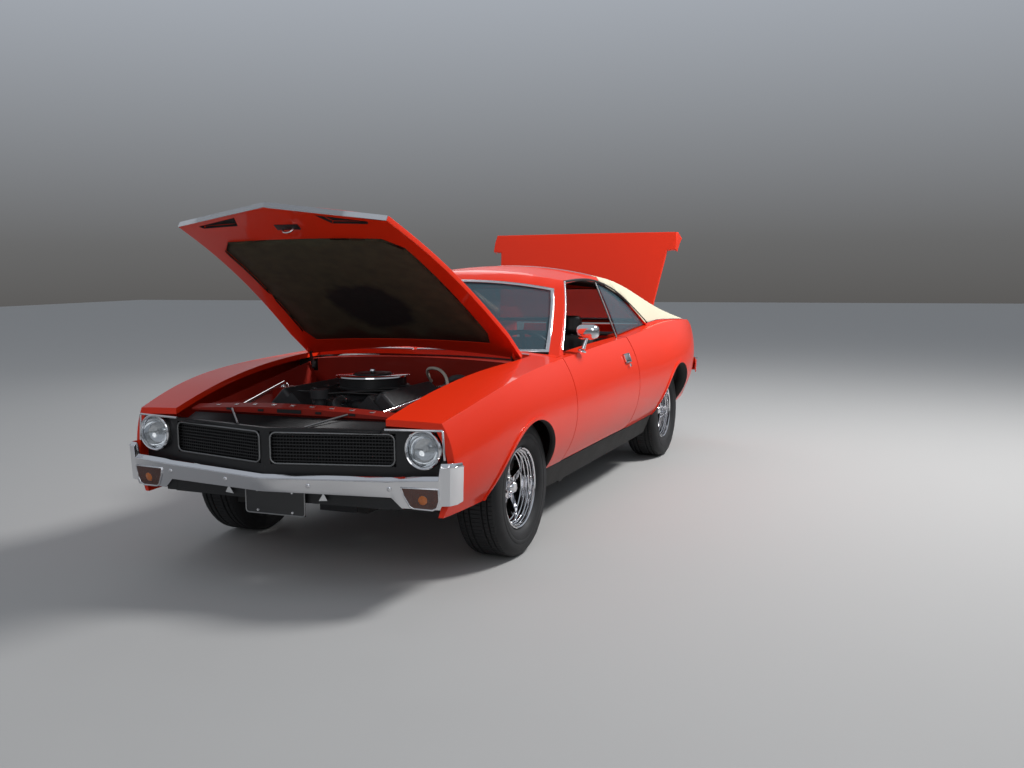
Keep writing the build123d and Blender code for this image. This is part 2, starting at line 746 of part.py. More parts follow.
def make_trunk_lid(closed_form, pocket_layer):
    """Trunk lid in its closed place: a T with a kicked-up rear edge, ribbed below."""
    right = [
        (LID_FRONT_X, LID_FRONT_Y),
        (LID_WIDE_X, LID_REAR_Y - LID_KICK - SHUT_GAP),
        (LID_END_X, LID_REAR_Y - LID_KICK),
        (LID_END_X, LID_REAR_Y + 40),
    ]
    left = [(-x, y) for x, y in reversed(right)]
    plan = prism_z(right + left, 700, ROOF_HEIGHT)
    pocket = pocket_layer & prism_z(LID_POCKET, 700, ROOF_HEIGHT)
    return (closed_form & plan & tail_block()) - both_sides(pocket)


def make_hood(closed_form, pocket_layer):
    """Hood in its closed place, with the pad's recess and two slots below."""
    right = [
        (0, HOOD_APEX_Y - 60),
        (HOOD_FRONT_X, HOOD_FRONT_Y - 60),
        (HOOD_FRONT_X, HOOD_FRONT_Y),
        (HOOD_REAR_X, HOOD_STRAIGHT_Y),
        (HOOD_REAR_X, HOOD_REAR_Y),
        (0, HOOD_REAR_Y - HOOD_REAR_BOW),
    ]
    left = [(-x, y) for x, y in reversed(right[1:-1])]
    plan = prism_z(right + left, 500, ROOF_HEIGHT)
    lug = prism_x([
        (HOOD_LUG_Y - 14, HOOD_LUG_Z - 12), (HOOD_LUG_Y + 14, HOOD_LUG_Z - 12),
        (HOOD_LUG_Y + 22, HOOD_LUG_Z + 28), (HOOD_LUG_Y - 40, HOOD_LUG_Z + 28),
    ], ARM_X + ARM_THICKNESS / 2 + SEAT_CLEARANCE, ARM_X + ARM_THICKNESS / 2 + 6)
    pad = HOOD_PAD + [(-x, y) for x, y in reversed(HOOD_PAD)]
    recess = pocket_layer & prism_z(pad, 500, ROOF_HEIGHT)
    slots = both_sides(pocket_layer & prism_z(HOOD_SLOT, 500, ROOF_HEIGHT))
    panel = (closed_form & plan & nose_block()) - recess - slots
    return panel + both_sides(lug)


# Wheels

def make_tire(x, y):
    """A tyre with rounded shoulders, open for the rim."""
    half = TIRE_WIDTH / 2
    bead = RIM_WIDTH / 2 - RIM_WALL - SEAT_CLEARANCE
    seat = RIM_BEAD_RADIUS + SEAT_CLEARANCE
    crown = TIRE_RADIUS
    z = FRONT_AXLE_Z
    right = [
        (bead, seat), (bead, RIM_RADIUS + 4), (half - 9, RIM_RADIUS + 22),
        (half, RIM_RADIUS + 58), (half, crown - TIRE_SHOULDER),
        (half - TIRE_SHOULDER * 0.6, crown - 5), (half - TIRE_SHOULDER * 1.4, crown),
    ]
    profile = right + [(-dx, r) for dx, r in reversed(right)]
    return turned_x(profile, x, y, z)


def make_barrel(x, y, z):
    """The rim's barrel with its two flanges."""
    half = RIM_WIDTH / 2
    bead = RIM_BEAD_RADIUS
    return turned_x([
        (-half, RIM_RADIUS), (-half + RIM_WALL, RIM_RADIUS), (-half + RIM_WALL, bead),
        (half - RIM_WALL, bead), (half - RIM_WALL, RIM_RADIUS), (half, RIM_RADIUS),
        (half, RIM_RADIUS - RIM_WALL), (half - 16, bead - RIM_WALL),
        (half - SPOKE_RECESS + 6, bead - RIM_WALL - 2), (half - SPOKE_RECESS, bead - 2 * RIM_WALL),
        (-half + 16, bead - 2 * RIM_WALL), (-half, RIM_RADIUS - RIM_WALL),
    ], x, y, z)


def make_spoke(front, y, z):
    """One upright spoke: a tapered bar with a groove down its front."""
    root, tip = SPOKE_WIDTH / 2 + 4, SPOKE_WIDTH / 2 - 3
    reach = RIM_BEAD_RADIUS - RIM_WALL * 1.5
    outline = Polyline((front, y - root, z), (front, y + root, z), (front, y + tip, z + reach),
                       (front, y - tip, z + reach), close=True)
    bar = extrude(make_face(outline), SPOKE_THICKNESS, dir=(-1, 0, 0))
    groove = block(front - SPOKE_GROOVE_DEPTH, front + 1, y - SPOKE_GROOVE / 2,
                   y + SPOKE_GROOVE / 2, z + HUB_RADIUS + 6, z + RIM_BEAD_RADIUS - 22)
    return bar - groove


def make_rim(x, y):
    """A five-spoke wheel of the left side, with its drum."""
    z = FRONT_AXLE_Z
    front = x + RIM_WIDTH / 2 - SPOKE_RECESS
    hub_back = front - SPOKE_THICKNESS - HUB_DEPTH
    wheel = make_barrel(x, y, z)
    spoke = make_spoke(front, y, z)
    for number in range(SPOKE_COUNT):
        wheel = wheel + turned_about_x(spoke, y, z, number * 360 / SPOKE_COUNT)
    hub = disc_x(hub_back, front + 8, y, z, HUB_RADIUS)
    cap = disc_x(front, front + CAP_LENGTH, y, z, CAP_RADIUS)
    drum = disc_x(hub_back - DRUM_WIDTH, hub_back, y, z, DRUM_RADIUS)
    wheel = wheel + hub + cap + drum
    lug = disc_x(front, front + LUG_LENGTH, y, z + LUG_CIRCLE, LUG_RADIUS)
    for number in range(LUG_COUNT):
        wheel = wheel + turned_about_x(lug, y, z, 36 + number * 360 / LUG_COUNT)
    return wheel


# Glass

def make_windshield():
    """Windshield glass, set into the opening between the pillars."""
    sheet = behind_windshield(GLASS_INSET) - behind_windshield(GLASS_INSET + GLASS_THICKNESS)
    opening = cabin_form(ROOF_WALL + SEAT_CLEARANCE)
    return sheet & opening & block(-HALF_WIDTH, HALF_WIDTH, 0, TAIL_Y, GLASS_FOOT_Z, 1400)


def make_rear_window():
    """Rear window glass, flush in its frame."""
    sheet = backlight_slab(GLASS_INSET, GLASS_INSET + GLASS_THICKNESS)
    return sheet & backlight_plan(-BACKLIGHT_FRAME - SEAT_CLEARANCE, 800, ROOF_HEIGHT)


def make_quarter_glass():
    """The fixed side windows behind the doors."""
    sheet = cabin_form(GLASS_INSET) - cabin_form(GLASS_INSET + GLASS_THICKNESS)
    return both_sides(sheet & prism_x(QUARTER_GLASS, 0, HALF_WIDTH))


# Front end

def nose_ring(z0, z1, front, back):
    """A band that follows the V of the nose, between two set-backs."""
    ahead = nose_block(front) - nose_block(back)
    return ahead & block(-HALF_WIDTH, HALF_WIDTH, NOSE_Y - 100, -600, z0, z1)


def make_headlamps():
    """Chrome cups of both headlamps."""
    def cut(radius, y0, y1):
        return rod((LAMP_X, y0, LAMP_Z), (LAMP_X, y1, LAMP_Z), radius)
    back = LAMP_FACE_Y + LAMP_BUCKET_DEPTH
    cup = cut(LAMP_RADIUS, LAMP_FACE_Y, back)
    cup = cup - cut(LAMP_RADIUS - LAMP_RIM, LAMP_FACE_Y - 1, back - LAMP_RIM)
    return both_sides(cup)


def make_lamp_glass():
    """The bowed glasses of both headlamps."""
    radius = LAMP_RADIUS - LAMP_RIM
    bow_radius = (radius ** 2 + LAMP_BOW ** 2) / (2 * LAMP_BOW)
    front = LAMP_FACE_Y + LAMP_RIM - LAMP_BOW
    ball = Pos(LAMP_X, front + bow_radius, LAMP_Z) * Sphere(bow_radius)
    body = rod((LAMP_X, front - 1, LAMP_Z), (LAMP_X, LAMP_FACE_Y + 26, LAMP_Z), radius)
    return both_sides(ball & body)


def make_grille(body):
    """Dark nose panel with lamp holes and two slatted openings."""
    front, back = NOSE_PANEL_SETBACK, NOSE_PANEL_SETBACK + NOSE_PANEL_THICKNESS
    panel = nose_ring(NOSE_PANEL_LOW_Z, NOSE_PANEL_TOP_Z, front, back)
    panel = panel & block(0, BEZEL_OUTER_X, NOSE_Y, 0, 0, ROOF_HEIGHT) & body
    window = block(GRILLE_INNER_X, GRILLE_OUTER_X, NOSE_Y, 0, GRILLE_LOW_Z, GRILLE_TOP_Z)
    lamp = rod((LAMP_X, NOSE_Y, LAMP_Z), (LAMP_X, -600, LAMP_Z), LAMP_RADIUS + SEAT_CLEARANCE)
    panel = panel - window - lamp
    slats = nose_ring(GRILLE_LOW_Z, GRILLE_TOP_Z, back - SLAT_DEPTH, back)
    pitch = (GRILLE_TOP_Z - GRILLE_LOW_Z) / (SLAT_COUNT + 1)
    for number in range(SLAT_COUNT):
        middle = GRILLE_LOW_Z + pitch * (number + 1)
        panel = panel + (slats & block(GRILLE_INNER_X - 2, GRILLE_OUTER_X + 2, NOSE_Y, 0,
                                       middle - SLAT_HEIGHT / 2, middle + SLAT_HEIGHT / 2))
    return both_sides(panel)


def bumper_half():
    """Left half of the front bumper before its lamp is cut out."""
    wires = []
    for x, y, in_x, in_y, depth, low, top in BUMPER_STATIONS:
        lean = depth * BUMPER_LEAN
        outline = [
            (0, top - BUMPER_LEDGE), (depth * 0.75, top), (depth, top - 4),
            (depth * 0.75 + lean, low), (lean, low),
        ]
        points = [(x + in_x * d, y + in_y * d, z) for d, z in outline]
        wires.append(Wire(Polyline(*points, close=True).edges()))
    return Solid.make_loft(wires, ruled=True)


def make_front_bumper(half):
    """Chrome bumper: a V in plan with deeper ends that wrap round."""
    lamp = prism_y(PARKING_LAMP, NOSE_Y, -600)
    return both_sides(half - lamp)


def make_parking_lamps(half):
    """Parking lamps, set into the ends of the bumper's face."""
    middle_x = sum(x for x, z in PARKING_LAMP) / len(PARKING_LAMP)
    middle_z = sum(z for x, z in PARKING_LAMP) / len(PARKING_LAMP)
    outline = [
        (middle_x + (x - middle_x) * 0.98, middle_z + (z - middle_z) * 0.97)
        for x, z in PARKING_LAMP
    ]
    lamp = (Pos(0, PARKING_LAMP_INSET, 0) * half) & prism_y(outline, NOSE_Y, -600)
    return both_sides(lamp)


def make_front_valance():
    """Panel below the bumper with the plate's holder."""
    front = [(0, -800), (556, -782)]
    back = [(x, y + VALANCE_SHEET) for x, y in reversed(front)]
    panel = both_sides(prism_z(front + back, VALANCE_LOW_Z, VALANCE_TOP_Z))
    holder = block(-PLATE_HALF_WIDTH, PLATE_HALF_WIDTH, PLATE_Y, PLATE_Y + PLATE_THICKNESS,
                   PLATE_LOW_Z, PLATE_TOP_Z)
    for x in (-PLATE_HOLE_SPACING / 2, PLATE_HOLE_SPACING / 2):
        holder = holder - rod((x, PLATE_Y - 5, PLATE_HOLE_Z), (x, PLATE_Y + 15, PLATE_HOLE_Z),
                              PLATE_HOLE_RADIUS)
    lug = block(20, 60, PLATE_Y + PLATE_THICKNESS - 1, PLATE_Y + 22, PLATE_TOP_Z - 35,
                VALANCE_TOP_Z)
    return panel + holder + both_sides(lug)


def make_cowl(skin):
    """Panel between hood and windshield, with both pillar feet."""
    right = [
        (0, HOOD_REAR_Y - HOOD_REAR_BOW + SHUT_GAP),
        (HOOD_REAR_X, HOOD_REAR_Y + SHUT_GAP),
        (COWL_HALF_WIDTH - SEAT_CLEARANCE, HOOD_REAR_Y + SHUT_GAP),
        (COWL_HALF_WIDTH - SEAT_CLEARANCE, DOOR_FRONT_Y - SEAT_CLEARANCE),
        (PILLAR_FOOT_X, DOOR_FRONT_Y - SEAT_CLEARANCE),
        (PILLAR_FOOT_X, PILLAR_FOOT_Y),
        (COWL_HALF_WIDTH, PILLAR_FOOT_Y + 60),
        (0, PILLAR_FOOT_Y + 60),
    ]
    left = [(-x, y) for x, y in reversed(right[1:-1])]
    plan = prism_z(right + left, PILLAR_FOOT_Z, ROOF_HEIGHT)
    panel = (skin & plan) - behind_windshield(-2)
    louvres = []
    for number in range(-LOUVRE_HALF_COUNT, LOUVRE_HALF_COUNT + 1):
        x = number * LOUVRE_PITCH
        edge_y = HOOD_REAR_Y - HOOD_REAR_BOW * (1 - abs(x) / HOOD_REAR_X) + SHUT_GAP
        louvres.append(block(x - LOUVRE_WIDTH / 2, x + LOUVRE_WIDTH / 2, edge_y + LOUVRE_SETBACK,
                             edge_y + LOUVRE_SETBACK + LOUVRE_LENGTH, PILLAR_FOOT_Z, ROOF_HEIGHT))
    return panel - louvres


# Engine bay

def make_engine_bay(under_hood):
    """Inner aprons with shelves, spring towers and trays, and the firewall."""
    def sheet(y, top_x, top_z):
        points = [
            (APRON_X, APRON_LOW_Z), (APRON_X + APRON_SHEET, APRON_LOW_Z),
            (APRON_X + APRON_SHEET, SHELF_Z), (top_x - 24, SHELF_Z + SHELF_RISE),
            (top_x, top_z), (top_x - APRON_SHEET, top_z),
            (top_x - 30, SHELF_Z + SHELF_RISE + APRON_SHEET), (APRON_X, SHELF_Z + APRON_SHEET),
        ]
        return Wire(Polyline(*[(x, y, z) for x, z in points], close=True).edges())
    front = sheet(RADIATOR_Y + 20, HOOD_FRONT_X + 16, 722)
    rear = sheet(FIREWALL_Y, HOOD_REAR_X - 6, 850)
    apron = Solid.make_loft([front, rear], ruled=True)
    wall = block(-HOOD_REAR_X, HOOD_REAR_X, FIREWALL_Y, FIREWALL_Y + 12, APRON_LOW_Z,
                 FIREWALL_TOP_Z)
    ledge = block(-HOOD_REAR_X, HOOD_REAR_X, FIREWALL_Y, HOOD_REAR_Y - BAY_CLEARANCE,
                  FIREWALL_TOP_Z - 1, FIREWALL_TOP_Z + 60)
    hollow = block(-HOOD_REAR_X, HOOD_REAR_X, FIREWALL_Y + 12, HOOD_REAR_Y,
                   FIREWALL_TOP_Z - 2, FIREWALL_TOP_Z + 20)
    arm_slot = block(ARM_X - 14, ARM_X + 20, FIREWALL_Y - 4, HOOD_REAR_Y, ARM_PIVOT_Z - 24,
                     FIREWALL_TOP_Z + 70)
    hole_low, hole_top = ARM_HOLE_Z
    arm_hole = block(APRON_X - 4, APRON_X + APRON_SHEET + 4, -30, 30, hole_low, hole_top)
    tower = rod((TOWER_X, TOWER_Y, SHELF_Z - 50), (TOWER_X, TOWER_Y, TOWER_TOP_Z), TOWER_RADIUS)
    tray = block(BATTERY_INNER_X, APRON_X + 2, TRAY_Y, TRAY_Y + TRAY_LENGTH, TRAY_Z - 8, TRAY_Z)
    bay = (both_sides(apron - arm_hole + tower + tray) + wall + (ledge - hollow)) & under_hood
    return bay - both_sides(arm_slot) - tunnel_form(FIREWALL_Y - 5, FIREWALL_Y + 20, 8)


def make_radiator_support(under_hood):
    """Cross panel behind the grille with the radiator in it, arched under the hood."""
    half = HOOD_FRONT_X + 2
    opening_top = RADIATOR_TOP_Z - 70
    top_z = RADIATOR_TOP_Z + 40
    back_y = RADIATOR_Y + SUPPORT_SHEET
    panel = block(-half, half, RADIATOR_Y, back_y, SUPPORT_LOW_Z, top_z)
    panel = panel - block(-RADIATOR_HALF, RADIATOR_HALF, RADIATOR_Y - 1, back_y + 1,
                          CORE_LOW_Z, opening_top)
    shelf_z = opening_top + SUPPORT_SHEET
    top = block(-half, half, RADIATOR_Y - SUPPORT_DEPTH, RADIATOR_Y, shelf_z, top_z)
    hollow = block(-half - 1, half + 1, RADIATOR_Y - SUPPORT_DEPTH - 1, RADIATOR_Y, shelf_z - 1,
                   shelf_z - 2 + SUPPORT_LIP)
    core = block(-RADIATOR_HALF + 2, RADIATOR_HALF - 2, RADIATOR_Y - SUPPORT_SHEET,
                 RADIATOR_Y + CORE_DEPTH, CORE_LOW_Z + 2, opening_top - 2)
    shroud_y, shroud_z = RADIATOR_Y + CORE_DEPTH, FAN_Z - 10
    bore_radius = FAN_RADIUS + SHROUD_GAP
    shroud = rod((0, shroud_y - 1, shroud_z), (0, shroud_y + SHROUD_LENGTH, shroud_z),
                 bore_radius + SHROUD_WALL)
    bore = rod((0, shroud_y, shroud_z), (0, shroud_y + SHROUD_LENGTH + 1, shroud_z), bore_radius)
    return ((panel + (top - hollow)) & under_hood) + core + (shroud - bore)


def make_bank():
    """Left bank: head, valve cover, exhaust manifold and its flange."""
    length = ENGINE_LENGTH - 30
    head = Box(HEAD_WIDTH, length, HEAD_HEIGHT)
    cover = Pos(0, 0, (HEAD_HEIGHT + COVER_HEIGHT) / 2 - 2) * Box(COVER_WIDTH, length - 30,
                                                                 COVER_HEIGHT)
    cover = fillet(cover.edges().filter_by(Axis.Z), COVER_CORNER)
    cover = fillet(cover.faces().sort_by(Axis.Z)[-1].edges(), COVER_EDGE)
    bank = head + cover
    log_x = HEAD_WIDTH / 2 + MANIFOLD_RADIUS + 6
    bank = bank + rod((log_x, -length / 2 + 30, 0), (log_x, length / 2 - 30, 0), MANIFOLD_RADIUS)
    for number in range(CYLINDERS_A_BANK):
        y = CYLINDER_PITCH * (number - (CYLINDERS_A_BANK - 1) / 2)
        bank = bank + rod((HEAD_WIDTH / 2 - 4, y, 0), (log_x, y, 0), MANIFOLD_RADIUS - 4)
    middle_y = ENGINE_FRONT_Y + ENGINE_LENGTH / 2
    bank = Pos(BANK_X, middle_y, BANK_Z) * Rot(0, BANK_ANGLE, 0) * bank
    pipe_axis = (Vector(*PIPE_START) - Vector(*PIPE_BEND)).normalized()
    flange_low = Vector(*PIPE_START) + pipe_axis * SEAT_CLEARANCE
    flange_top = Vector(*PIPE_START) + pipe_axis * 30
    return bank + rod(tuple(flange_low), tuple(flange_top), PIPE_RADIUS + 4)


def make_accessory_drive():
    """Pulleys, alternator, pump and fan ahead of the block."""
    front = ENGINE_FRONT_Y
    drive = rod((0, front - 110, FAN_Z), (0, front - 60, FAN_Z), 30)
    for x, z, radius in PULLEYS:
        drive = drive + rod((x, front - 70, z), (x, front - 52, z), radius)
        drive = drive + rod((x, front - 53, z), (x, front + 30, z), radius * 0.72)
    blade = Rot(0, 0, FAN_PITCH) * Box(FAN_BLADE_WIDTH, 6, FAN_RADIUS - 20)
    blade = Pos(0, 0, (FAN_RADIUS + 20) / 2) * blade
    for number in range(FAN_BLADES):
        turn = Pos(0, front - 98, FAN_Z) * Rot(0, number * 360 / FAN_BLADES + 12, 0)
        drive = drive + turn * blade
    return drive


def make_induction():
    """Intake manifold with its runners, carburettor, thermostat and distributor."""
    front, rear = ENGINE_FRONT_Y, ENGINE_FRONT_Y + ENGINE_LENGTH
    half = INTAKE_HALF
    intake = block(-half, half, front + 60, rear - 50, BANK_Z, INTAKE_TOP_Z)
    for number in range(CYLINDERS_A_BANK):
        y = (front + rear) / 2 + CYLINDER_PITCH * (number - (CYLINDERS_A_BANK - 1) / 2) * 0.9
        intake = intake + rod((-RUNNER_REACH, y, RUNNER_Z), (RUNNER_REACH, y, RUNNER_Z),
                              RUNNER_RADIUS)
    base = AIR_CLEANER_Z - SEAT_CLEARANCE
    carburettor = block(-half, half, AIR_CLEANER_Y - 80, AIR_CLEANER_Y + 80, INTAKE_TOP_Z - 2,
                        base - 15)
    throat = rod((0, AIR_CLEANER_Y, base - 17), (0, AIR_CLEANER_Y, base), THROAT_RADIUS)
    neck = rod((HOSE_START[0], front + 70, HOSE_START[2]), HOSE_START, HOSE_RADIUS - 1)
    x, y, z = -DISTRIBUTOR_X, front + 34, DISTRIBUTOR_Z
    stack = rod((x, y, z - 140), (x, y, z - 40), 26)
    cap = rod((x, y, z - 42), (x, y, z), DISTRIBUTOR_RADIUS)
    return intake + carburettor + throat + neck + stack + cap


def make_engine():
    """V8 with its heads, manifolds, drive and gearbox."""
    front, rear = ENGINE_FRONT_Y, ENGINE_FRONT_Y + ENGINE_LENGTH
    left = [(-x, z) for x, z in reversed(BLOCK_OUTLINE)]
    lower = prism_y(BLOCK_OUTLINE + left, front, rear)
    pan = block(-PAN_HALF, PAN_HALF, front + 60, PAN_END_Y, PAN_LOW_Z, BLOCK_OUTLINE[0][1] + 10)
    gearbox = rod((0, rear - 10, 400), (0, rear + 256, 392), GEARBOX_RADIUS)
    tail_shaft = rod((0, rear + 250, 368), (0, rear + 560, 352), TAIL_SHAFT_RADIUS)
    engine = lower + pan + gearbox + tail_shaft + both_sides(make_bank())
    return engine + make_accessory_drive() + make_induction()


def make_hoses():
    """Upper radiator hose and the pale heater hose, each held at both ends."""
    hoses = []
    for route, radius, bends in ((HOSE_ROUTE, HOSE_RADIUS, HOSE_BENDS),
                                 (HEATER_ROUTE, HEATER_RADIUS, HEATER_BENDS)):
        path = FilletPolyline(*route, radius=bends)
        start = Vector(*route[0])
        section = Plane(origin=start, z_dir=Vector(*route[1]) - start) * Circle(radius)
        hoses.append(sweep(section, path=path))
    return Compound(children=hoses)


def make_air_cleaner():
    """Round air cleaner with a raised lid."""
    cleaner = None
    for radius, low_z, top_z in AIR_CLEANER_RINGS:
        ring = rod((0, AIR_CLEANER_Y, AIR_CLEANER_Z + low_z),
                   (0, AIR_CLEANER_Y, AIR_CLEANER_Z + top_z), radius)
        cleaner = ring if cleaner is None else cleaner + ring
    return cleaner


def make_bay_equipment():
    """Battery, washer bottle, brake booster and the two braces."""
    tray_end_y = TRAY_Y + TRAY_LENGTH
    battery = block(-APRON_X + TRAY_MARGIN, -BATTERY_INNER_X, TRAY_Y + TRAY_MARGIN,
                    tray_end_y - TRAY_MARGIN, TRAY_Z, TRAY_Z + BATTERY_HEIGHT)
    bottle = block(BOTTLE_INNER_X, APRON_X - TRAY_MARGIN, TRAY_Y + 4 * TRAY_MARGIN,
                   tray_end_y - 4 * TRAY_MARGIN, TRAY_Z, TRAY_Z + BOTTLE_HEIGHT)
    booster_y = FIREWALL_Y - BOOSTER_LENGTH
    booster = rod((BOOSTER_X, booster_y, BOOSTER_Z), (BOOSTER_X, FIREWALL_Y, BOOSTER_Z),
                  BOOSTER_RADIUS)
    master = block(BOOSTER_X - 35, BOOSTER_X + 35, booster_y - MASTER_LENGTH, booster_y + 2,
                   BOOSTER_Z - 10, BOOSTER_Z + 70)
    bar_z = TOWER_TOP_Z + BRACE_LIFT
    rear_foot = rod((TOWER_X, TOWER_Y, TOWER_TOP_Z), (TOWER_X, TOWER_Y, bar_z - 4), BRACE_FOOT)
    front_foot = block(BRACE_X - BRACE_FOOT, BRACE_X + BRACE_FOOT, RADIATOR_Y + SUPPORT_SHEET,
                       RADIATOR_Y + SUPPORT_SHEET + 8, BRACE_Z - 20, BRACE_Z + 12)
    bar = rod((TOWER_X, TOWER_Y, bar_z), (BRACE_X, RADIATOR_Y + 20, BRACE_Z), BRACE_RADIUS)
    brace = bar + rear_foot + front_foot
    return Compound(children=[battery, bottle, booster + master, brace, mirrored(brace)])


# Chassis

def tunnel_form(y0, y1, inset=0.0):
    """The ridge over gearbox and driveshaft, open below when set in."""
    half = [(150 - inset, FLOOR_Z - inset), (150 - inset, FLOOR_Z + 130 - inset / 2),
            (90 - inset / 2, FLOOR_Z + 200 - inset)]
    left = [(-x, z) for x, z in reversed(half)]
    return prism_y(half + left, y0, y1)


def make_underbody(wall):
    """Floor, tunnel and trunk floor."""
    dash_y = FIREWALL_Y + 12
    floor = prism_x([
        (dash_y, APRON_LOW_Z), (dash_y, APRON_LOW_Z - FLOOR_SHEET), (FLOOR_FRONT_Y, FLOOR_Z),
        (KICK_UP_Y, FLOOR_Z), (KICK_UP_Y, SEAT_PAN_Z), (TRUNK_FRONT_Y, SEAT_PAN_Z),
        (TRUNK_FRONT_Y, TRUNK_FLOOR_Z), (TRUNK_END_Y, TRUNK_FLOOR_Z),
        (TRUNK_END_Y, TRUNK_FLOOR_Z + TRUNK_SHEET),
        (TRUNK_FRONT_Y - FLOOR_SHEET, TRUNK_FLOOR_Z + TRUNK_SHEET),
        (TRUNK_FRONT_Y - FLOOR_SHEET, SEAT_PAN_Z + FLOOR_SHEET),
        (KICK_UP_Y - FLOOR_SHEET, SEAT_PAN_Z + FLOOR_SHEET),
        (KICK_UP_Y - FLOOR_SHEET, FLOOR_Z + FLOOR_SHEET),
        (FLOOR_FRONT_Y, FLOOR_Z + FLOOR_SHEET),
    ], -540, 540)
    tunnel = tunnel_form(dash_y, TRUNK_FRONT_Y - 1)
    bore = tunnel_form(dash_y - 20, TRUNK_FRONT_Y + 5, 8)
    side_floor = block(530, 726, FLOOR_FRONT_Y, KICK_UP_Y, FLOOR_Z, FLOOR_Z + FLOOR_SHEET)
    trunk_side = block(530, 716, REAR_ARCH_Y + 380, 3690, TRUNK_FLOOR_Z + 6, TRUNK_FLOOR_Z + 18)
    return floor + tunnel + both_sides(side_floor + (trunk_side - wall)) - bore


def make_rails(floor):
    """Frame rails: the front ones run down under the toe board."""
    front = prism_x([
        (RADIATOR_Y + 20, 300), (FIREWALL_Y - 40, 300), (FLOOR_FRONT_Y, RAIL_LOW_Z),
        (RAIL_END_Y, RAIL_LOW_Z), (RAIL_END_Y, FLOOR_Z + 2), (FLOOR_FRONT_Y + 10, FLOOR_Z + 2),
        (FIREWALL_Y + 4, 351), (RADIATOR_Y + 20, 351),
    ], 290, 345)
    rear = block(452, 512, TRUNK_FRONT_Y, 3730, 372, TRUNK_FLOOR_Z + 1)
    return both_sides(front + rear) - floor


def make_sills(wall, floor):
    """Sills with the hinge pillars on their front ends, and the jack pads."""
    dash_y = FIREWALL_Y + 12
    hinge_pillar = block(644, 722, dash_y, DOOR_FRONT_Y + 110, FLOOR_Z, PILLAR_FOOT_Z - 1)
    sill = wall & block(560, HALF_WIDTH, 395, 2392, 100, SILL_TOP - SHUT_GAP)
    pad = block(700, 740, 700, 760, JACK_PAD_Z, FLOOR_Z + 1)
    return both_sides(hinge_pillar + sill + pad) - floor


def make_wheelhouses(inner_form, floor):
    """Rear wheelhouses."""
    inner = REAR_ARCH_RADIUS + WHEELHOUSE_GAP
    outer_radius = inner + WHEELHOUSE_SHEET
    ring = turned_x([
        (0, inner), (WHEELHOUSE_WIDTH, inner), (WHEELHOUSE_WIDTH, outer_radius),
        (0, outer_radius),
    ], WHEELHOUSE_X, REAR_ARCH_Y, REAR_ARCH_Z)
    disc = disc_x(WHEELHOUSE_X - WHEELHOUSE_SHEET, WHEELHOUSE_X, REAR_ARCH_Y, REAR_ARCH_Z,
                  outer_radius)
    house = (ring + disc) & block(0, HALF_WIDTH, 0, TAIL_Y, APRON_LOW_Z, ROOF_HEIGHT)
    house = house & inner_form
    axle_hole = disc_x(WHEELHOUSE_X - 20, WHEELHOUSE_X + 10, REAR_AXLE_Y, FRONT_AXLE_Z,
                       AXLE_HOLE_RADIUS)
    return both_sides(house - axle_hole) - floor


def make_tail_panel(inner):
    """Rear panel between the quarter panels, below the trunk lid."""
    panel = inner & (tail_block() - tail_block(TAIL_SHEET))
    return panel & block(-HALF_WIDTH, HALF_WIDTH, 3000, TAIL_Y, TAIL_PANEL_LOW_Z,
                         TAIL_PANEL_TOP_Z)


def make_tail_lamps(inner):
    """Rectangular tail lamps standing just proud of the tail panel."""
    shell = inner & (tail_block(-TAIL_LAMP_DEPTH) - tail_block())
    lamp = block(TAIL_LAMP_INNER_X, TAIL_LAMP_OUTER_X, LID_FRONT_Y, TAIL_Y + 50,
                 TAIL_LAMP_LOW_Z, TAIL_LAMP_TOP_Z)
    return both_sides(shell & lamp)


def rear_bow(middle_y, corner_y, corner_x, wing_x):
    """Everything ahead of one bowed face of the rear bumper."""
    z, end = REAR_BUMPER_Z, REAR_BUMPER_END_Y
    edges = [
        Edge.make_three_point_arc((-corner_x, corner_y, z), (0, middle_y, z),
                                  (corner_x, corner_y, z)),
        Edge.make_line((corner_x, corner_y, z), (wing_x, end, z)),
        Edge.make_line((wing_x, end, z), (-wing_x, end, z)),
        Edge.make_line((-wing_x, end, z), (-corner_x, corner_y, z)),
    ]
    return extrude(Face(Wire(edges)), REAR_BUMPER_HEIGHT, dir=(0, 0, 1))


def make_rear_bumper():
    """Chrome rear bumper that follows the tail and wraps round its corners."""
    outside = rear_bow(TAIL_Y, TAIL_Y - REAR_BUMPER_BOW, REAR_BUMPER_X, REAR_WING_X)
    inside = rear_bow(TAIL_Y - REAR_BUMPER_DEPTH, TAIL_Y - REAR_BUMPER_BOW - 22,
                      REAR_BUMPER_X - REAR_BUMPER_SHEET, REAR_WING_X - REAR_BUMPER_SHEET)
    return outside - inside


def make_exhaust():
    """Two pipes with mufflers, over the rear axle to the tail."""
    pipe = rod(MUFFLER_START, MUFFLER_END, MUFFLER_RADIUS)
    for start, end in zip(PIPE_ROUTE, PIPE_ROUTE[1:]):
        pipe = pipe + rod(start, end, PIPE_RADIUS)
        pipe = pipe + Pos(*end) * Sphere(PIPE_RADIUS)
    return both_sides(pipe)


def make_fuel_tank():
    """Fuel tank below the trunk floor."""
    tank = block(-TANK_HALF_WIDTH, TANK_HALF_WIDTH, TANK_FRONT_Y, TANK_END_Y, TANK_LOW_Z,
                 TRUNK_FLOOR_Z - 2)
    return fillet(tank.edges().filter_by(Axis.Z), TANK_CORNER)


